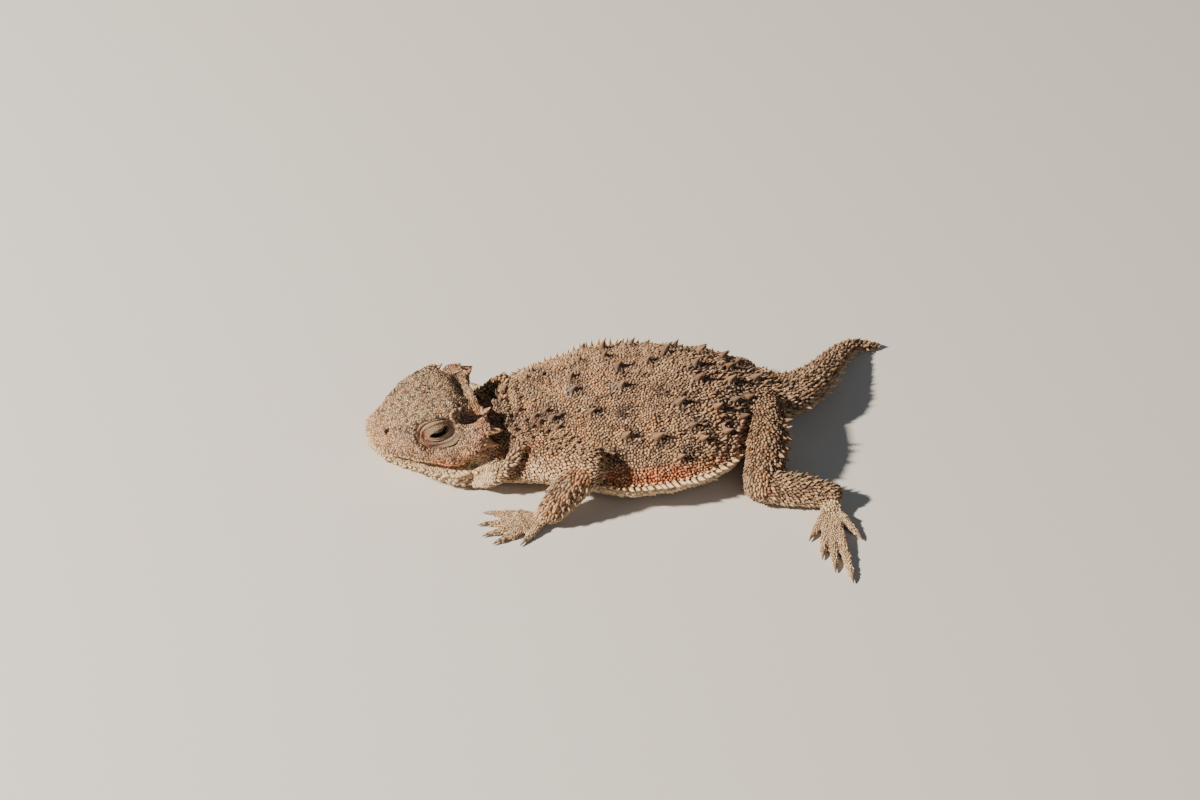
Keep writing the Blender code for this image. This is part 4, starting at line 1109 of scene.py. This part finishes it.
def coneBody(root, direction, radius, length, flat=0.85, bend=0.0, sink=1.2, sides=14):  # a horn or a claw
    forward = Vector(direction).normalized()
    side = forward.cross(Vector((0.1, 0.2, 1))).normalized()
    upright = side.cross(forward)
    bm = bmesh.new()
    bmesh.ops.create_circle(bm, cap_ends=True, segments=sides, radius=radius * 0.3)
    bmesh.ops.translate(bm, vec=(0, 0, -sink), verts=bm.verts)
    top = bm.faces[:][0]
    rings = [(-sink * (1 - s), radius * math.sin(math.pi / 2 * (0.2 + 0.8 * s))) for s in (0.33, 0.66, 1.0)]
    rings += [(length * s, radius * (1 - s) ** 0.95 + 0.07) for s in (0.25, 0.5, 0.72, 0.88, 1.0)]
    for k, (rise, wide) in enumerate(rings):  # a spindle whose root end runs in under the scales
        made = bmesh.ops.extrude_face_region(bm, geom=[top], use_keep_orig=k == 0)
        top = [g for g in made["geom"] if isinstance(g, bmesh.types.BMFace)][0]
        for v in top.verts:
            turn = Vector((v.co.x, v.co.y, 0)).normalized()
            v.co = (turn.x * wide, turn.y * wide, rise)
    masks = bm.verts.layers.float_color.new("marksTwo")
    for v in bm.verts:
        share = max(0.0, v.co.z / length)
        v[masks] = (0, 0, 0, share)
        v.co.y = v.co.y * flat + bend * share * share
    place = Matrix((side, upright, forward)).transposed().to_4x4()
    place.translation = Vector(root)
    bmesh.ops.transform(bm, matrix=place, verts=bm.verts)
    bmesh.ops.recalc_face_normals(bm, faces=bm.faces)
    return bm


def finished(piece, material):
    piece.data.transform(Matrix.Scale(mm, 4))
    piece.data.materials.append(material)
    piece.data.shade_smooth()
    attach(piece, "root")
    return piece


horns = {  # root (back, out, up), direction, root radius, length, how far the root runs in
    "brow": ((8.85, 4.75, 8.3), (0.72, 0.05, 0.68), 0.75, 1.7, 0.6),
    "occipital": ((13.1, 4.15, 7.7), (0.6, 0.1, 0.72), 0.95, 2.1, 1.4),
    "temporal_1": ((13.4, 6.5, 7.2), (0.9, 0.26, 0.14), 1.15, 2.5, 1.6),
    "temporal_2": ((13.3, 7.15, 5.65), (0.88, 0.34, -0.02), 1.1, 2.3, 1.6),
    "temporal_3": ((12.5, 7.45, 4.35), (0.8, 0.44, -0.16), 0.95, 1.9, 1.6),
}
collars = []
for name, (place, direction, radius, length, sink) in horns.items():
    for side, word in ((-1, "left"), (1, "right")):
        root = fromHead((place[0], side * place[1], place[2]))
        way = headTurn @ np.array((direction[0], side * direction[1], direction[2]))
        horn = fromBmesh(coneBody(root, way, radius, length, 0.75, 0.25, sink), f"{name}_horn_{word}")
        finished(horn, browMaterial if name == "brow" else hornMaterial)
        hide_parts(f"horn_{name}_{word}")
        foot = hide.seat([root])
        collars.append(rosette(foot, np.array([radius * 0.9]), 11))
collarSeats = {key: np.concatenate([seats[key] for seats in collars]) for key in collars[0]}
dress("horn_collars", [(shapes["plate"], tinted(collarSeats, salmon=0.3), 0.28, 0.34, spineTint(collarSeats))],
      scaleMaterial)

for key, (upper, lower, hand, digits) in limbParts.items():
    claws = []
    for digit in digits:
        end, before = np.array(digit["path"][-1]), np.array(digit["path"][-2])
        forward = unit((end - before) * (1, 1, 0))
        root = end + forward * 0.2 + (0, 0, 0.1)
        claws.append(coneBody(root, (*forward[:2], 0.05), 0.3, 1.45, 0.9, -0.28, 0.4, 8))
    finished(joined(claws, "claws_" + key), clawMaterial)

for side, word in ((-1, "left"), (1, "right")):
    place = fromHead((head["eye"][0], side * head["eye"][1], head["eye"][2]))
    bm = bmesh.new()
    bmesh.ops.create_uvsphere(bm, u_segments=48, v_segments=32, radius=head["eyeRadius"])
    bmesh.ops.translate(bm, vec=place, verts=bm.verts)
    eyeball = finished(fromBmesh(bm, "eyeball_" + word), eyeMaterial)
    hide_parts("eye_" + word)


# Lids: a slit dome over each eye, from the opening's margin out to the orbit's edge

lids = {"slitCentre": (7.85, 5.6), "slitTilt": math.radians(38), "slit": (1.62, 0.72), "thick": 0.3, "dome": 2.4,
        "reach": 1.17}


def ellipse(centre, tilt, radii, turn):
    a, b = radii[0] * np.cos(turn), radii[1] * np.sin(turn)
    return np.stack((centre[0] + a * math.cos(tilt) - b * math.sin(tilt),
                     centre[1] + a * math.sin(tilt) + b * math.cos(tilt)), -1)


def orbitEdge(side):  # how far out the skin stands round the orbit, by turn
    turns = np.linspace(0, 2 * np.pi, 73)
    ring = ellipse(orbit["centre"], orbit["tilt"], np.array(orbit["radii"]) * lids["reach"], turns)
    way = Vector(headTurn @ np.array((0.0, -side, 0.0)))
    outs = []
    for back, up in ring:
        hit = hide.tree.ray_cast(Vector(fromHead((back, side * 12, up))), way)[0]
        outs.append(abs(toHead(np.array(hit))[1]))
    ring = np.array(outs[:-1])
    ring = sum(np.roll(np.minimum(ring, np.median(ring) + 1.4), k) for k in range(-5, 6)) / 11
    return turns, np.append(ring, ring[0])


def lidBody(side):
    turns, outs = orbitEdge(side)

    def form(u, v):
        turn = u * 2 * np.pi
        outer = v < 0.5
        share = np.where(outer, v * 2, 2 - v * 2)
        s = np.sin(turn)
        squeezed = np.stack((lids["slit"][0] * np.cos(turn), lids["slit"][1] * s * np.abs(s) ** 0.3), -1)
        ct, st = math.cos(lids["slitTilt"]), math.sin(lids["slitTilt"])
        margin = np.stack((lids["slitCentre"][0] + squeezed[:, 0] * ct - squeezed[:, 1] * st,
                           lids["slitCentre"][1] + squeezed[:, 0] * st + squeezed[:, 1] * ct), -1)
        turned = (turn + lids["slitTilt"] - orbit["tilt"]) % (2 * np.pi)
        edge = ellipse(orbit["centre"], orbit["tilt"], np.array(orbit["radii"]) * lids["reach"], turned)
        flat = margin + (edge - margin) * share[:, None]
        gap = np.hypot(flat[:, 0] - head["eye"][0], flat[:, 1] - head["eye"][2])
        dome = head["eye"][1] + np.sqrt(np.maximum(lids["dome"] ** 2 - gap**2, 0))
        marginGap = np.hypot(margin[:, 0] - head["eye"][0], margin[:, 1] - head["eye"][2])
        start = head["eye"][1] + np.sqrt(np.maximum(lids["dome"] ** 2 - marginGap**2, 0)) - 0.45
        base = start + (np.interp(turned, turns, outs) - 0.1 - start) * share
        out = np.log(np.exp(5 * dome) + np.exp(5 * base)) / 5
        rim = np.exp(-(share / 0.12) ** 2)
        upper = np.sin(turn) > 0
        fold = np.where(upper, bump(share, 0.52, 0.07) - bump(share, 0.62, 0.05) + 0.7 * bump(share, 0.74, 0.06),
                        bump(share, 0.3, 0.08) - bump(share, 0.42, 0.05) + 0.8 * bump(share, 0.6, 0.08))
        raised = 0.1 * rim + 0.16 * fold * np.abs(s) ** 0.5
        middle = lids["thick"] / 2
        out = out - middle + (np.where(outer, raised, -lids["thick"]) + middle) * step01(0, 0.06, share)
        return fromHead(np.column_stack((flat[:, 0], side * out, flat[:, 1])))
    return shapedGrid(96, 72, form)


def lidMarks(flesh):  # head coordinates to the six masks
    c, s = math.cos(lids["slitTilt"]), math.sin(lids["slitTilt"])
    rise = (flesh[:, 2] - lids["slitCentre"][1]) * c - (flesh[:, 0] - lids["slitCentre"][0]) * s
    run = (flesh[:, 2] - lids["slitCentre"][1]) * s + (flesh[:, 0] - lids["slitCentre"][0]) * c
    upper = step01(-0.1, 0.25, rise)
    opening = np.hypot(run / lids["slit"][0], rise / lids["slit"][1])
    band = (1 - upper) * step01(1.08, 0.96, np.hypot(run / (lids["slit"][0] + 0.5), rise / (lids["slit"][1] + 0.75)))
    # painted shade along the lids' folds
    creaseShade = bump(np.hypot(run / 2.7, rise / 1.55), 1, 0.12) * upper + (1 - upper) * bump(opening, 2.3, 0.3)
    front = step01(-1.2, -2.4, run)
    a, b = orbitPlaces(flesh[:, 0], flesh[:, 2])
    outside = step01(0.95, 1.1, np.hypot(a / orbit["radii"][0], b / orbit["radii"][1]))
    return ((0.4 * band + 0.3 * upper * (1 - front)) * (1 - outside), 0 * band,
            np.clip(0.75 * creaseShade + 0.1 * (1 - upper), 0, 1) * (1 - outside),
            np.clip(0.35 * band + 0.6 * front, 0, 1) * (1 - outside), np.maximum(upper * (1 - front) * 0.9, outside * 0.7),
            (1 - upper) * 0.6 * (1 - front) * (1 - outside))


lidSeats = []
for side, word in ((-1, "left"), (1, "right")):
    lid = fromBmesh(lidBody(side), "lids_" + word)
    lidPoints = meshPoints(lid.data)
    flesh = toHead(lidPoints)
    masks = lidMarks(flesh)
    nil = np.zeros(len(flesh))
    paint(lid.data, "marksOne", masks[:4])
    paint(lid.data, "marksTwo", (*masks[4:], nil + 0.35, nil + 0.6))
    lidFound = {"part": np.ones(len(flesh), int), "limb": np.zeros(len(flesh), int), "place": flesh[:, 0] / 15,
                "angle": np.arctan2(flesh[:, 2] - 4, flesh[:, 1]), "lie": np.tile(headTurn[:, 0], (len(flesh), 1))}
    cover = Hide(lid.data, lidPoints, lidFound, masks)
    outward = cover.normals @ headTurn[:, 1] * side
    c, s = math.cos(lids["slitTilt"]), math.sin(lids["slitTilt"])
    run = (flesh[:, 0] - lids["slitCentre"][0]) * c + (flesh[:, 2] - lids["slitCentre"][1]) * s
    rise = (flesh[:, 2] - lids["slitCentre"][1]) * c - (flesh[:, 0] - lids["slitCentre"][0]) * s
    band = (rise < 0.1) & (np.hypot(run / (lids["slit"][0] + 0.5), rise / (lids["slit"][1] + 0.75)) < 1)
    rootsOn, reachOn = scatter(cover, np.where((outward > 0.1) & ~band, 0.19, 99.0), 1)
    on = cover.seat(rootsOn)
    lidSeats.append((shapes["granule"], on, reachOn * 0.56, reachOn * 0.1, 0.25 + 0.3 * rng.random(len(rootsOn))))
    finished(lid, scaleMaterial)
dress("scales_lids", lidSeats, scaleMaterial)


# Lip shields: rows of long pale scales above and below the mouth line

def lipSeats(side, first, last, count, drop):
    back = first + (last - first) * (np.arange(count) / (count - 1)) ** 0.92
    lip = curve(((0, 0.1), (3.2, 0.25), (6.6, 0.55), (10.6, 0.9), (14.4, 3.0)), back)
    out = curve(((0, 2.4), (1.6, 3.65), (4.65, 5.9), (7.6, 7.1), (10.4, 8.1), (13, 8.4)), back) + 0.3
    return hide.seat(fromHead(np.column_stack((back, side * out, lip + drop))))


lipGroups = []
for side in (-1, 1):
    for first, last, count, drop, radius, growth, lift, pale_ in (
            (0.9, 12.6, 22, -0.48, 0.25, 0.2, 0.2, 0.9), (0.7, 11.0, 24, 0.4, 0.22, 0.06, 0.12, 0.55)):
        shields = lipSeats(side, first, last, count, drop)
        grow = radius + growth * np.linspace(0, 1, count)
        upper = drop > 0
        shown = tinted(shields, pale=pale_ * np.linspace(1, 0.1 if upper else 1, count))
        lipGroups.append((shapes["shield" if upper else "keeled"], shown if upper else tinted(shown, orange=0.0), grow,
                          lift * grow / radius, rng.uniform(0.3, 0.9, count)))
dress("lip_shields", lipGroups, scaleMaterial)


# Small scales all over, each sized by the room round its root

spacingOf = {0: 0.36, 1: 0.26, 2: 0.44, 3: 0.43, 4: 0.42, 5: 0.32, 6: 0.25}


def spacings(points, found):
    spacing = np.array([spacingOf[k] for k in range(7)])[found["part"]]
    x, y, z = points.T
    body = found["part"] == 0
    under = body & (np.sin(found["angle"]) < -0.15)
    spacing = np.where(under, 0.6, spacing)
    leftSide = mirrored(points)
    spacing = np.where(body & (x < -9) & ~under, 0.34, spacing)
    spacing = np.where(body & (strokeGap(leftSide, throatFold["path"]) < 1.35), 0.46, spacing)
    spacing = np.where(body & (x > 4) & ~under, 0.36 + 0.1 * step01(4, 14, x), spacing)
    patchy = np.array([noise.noise(Vector(p) * 0.9) for p in points])
    spacing = spacing * (1 + np.where(found["part"] == 1, 0.15, 0.3) * patchy)
    back, out, up = toHead(points).T
    onHead = found["part"] == 1
    beads = onHead & (back > 9.6) & (back < 13.4) & (up < 3.0) & (up > -1.0)
    spacing = np.where(beads, 0.5, spacing)
    spacing = np.where(onHead & (up < -0.6), 0.45, spacing)
    a, b = orbitPlaces(back, up)
    inOrbit = np.hypot(a / orbit["radii"][0], b / orbit["radii"][1]) < 0.99
    spacing = np.where(onHead & inOrbit & (np.abs(out) > 1.5), 99.0, spacing)
    spacing = np.where(onHead & (openingGap(back, out, up) < 1), 99.0, spacing)
    return np.where(z < skinLook["floor"] + 0.02, 1.2, spacing)


print("scales: scattering")
roots, reach = scatter(hide, spacings(points, found))
seats = hide.seat(roots)
size = reach * 0.6
print("scales:", len(roots))
part = seats["part"]
size = size * rng.uniform(0.88, 1.08, len(size))
lift = size * rng.uniform(0.55, 1.05, len(size))
tint = rng.random(len(size))
belly = (part == 0) & (np.sin(seats["angle"]) < -0.15)
chance = rng.random(len(size))
rough = 0.12 + 0.5 * step01(2, 13, seats["roots"][:, 0]) + 0.2 * step01(-12, -16, seats["roots"][:, 0])
onFold = strokeGap(mirrored(seats["roots"]), throatFold["path"]) < 1.5
spiky = (part == 0) & ~belly & (chance < np.where(onFold, 0.8, rough * 0.75))
pointed = (part == 0) & ~belly & ~spiky & (chance > 1 - 0.16 * rough)


def group(shape, rows, lifting=1.0, growing=1.0):
    return (shapes[shape], picked(seats, rows), size[rows] * growing, lift[rows] * lifting, tint[rows])


fore = seats["roots"][:, 0] < 0
for word, half in (("fore", fore), ("rear", ~fore)):
    dress("scales_back_" + word, [group("granule", (part == 0) & ~belly & ~spiky & ~pointed & half),
                                  group("keeled", spiky & half, 1.3, 1.05),
                                  group("spine", pointed & half, 2.2, 1.15)], scaleMaterial)
dress("scales_belly", [group("flat", belly, 0.6)], scaleMaterial)
onCrown = (part == 1) & (toHead(seats["roots"])[:, 2] > 4.5)
dress("scales_crown", [group("plate", onCrown, 0.55, 1.06)], scaleMaterial)
dress("scales_face", [group("plate", (part == 1) & ~onCrown, 0.42, 1.06)], scaleMaterial)
dress("scales_tail", [group("keeled", part == 2, 1.5, 1.1)], scaleMaterial)
dress("scales_limbs", [group("keeled", (part == 3) | (part == 4), 1.3, 1.1)], scaleMaterial)
dress("scales_feet", [group("keeled", part >= 5, 0.85, 1.1)], scaleMaterial)
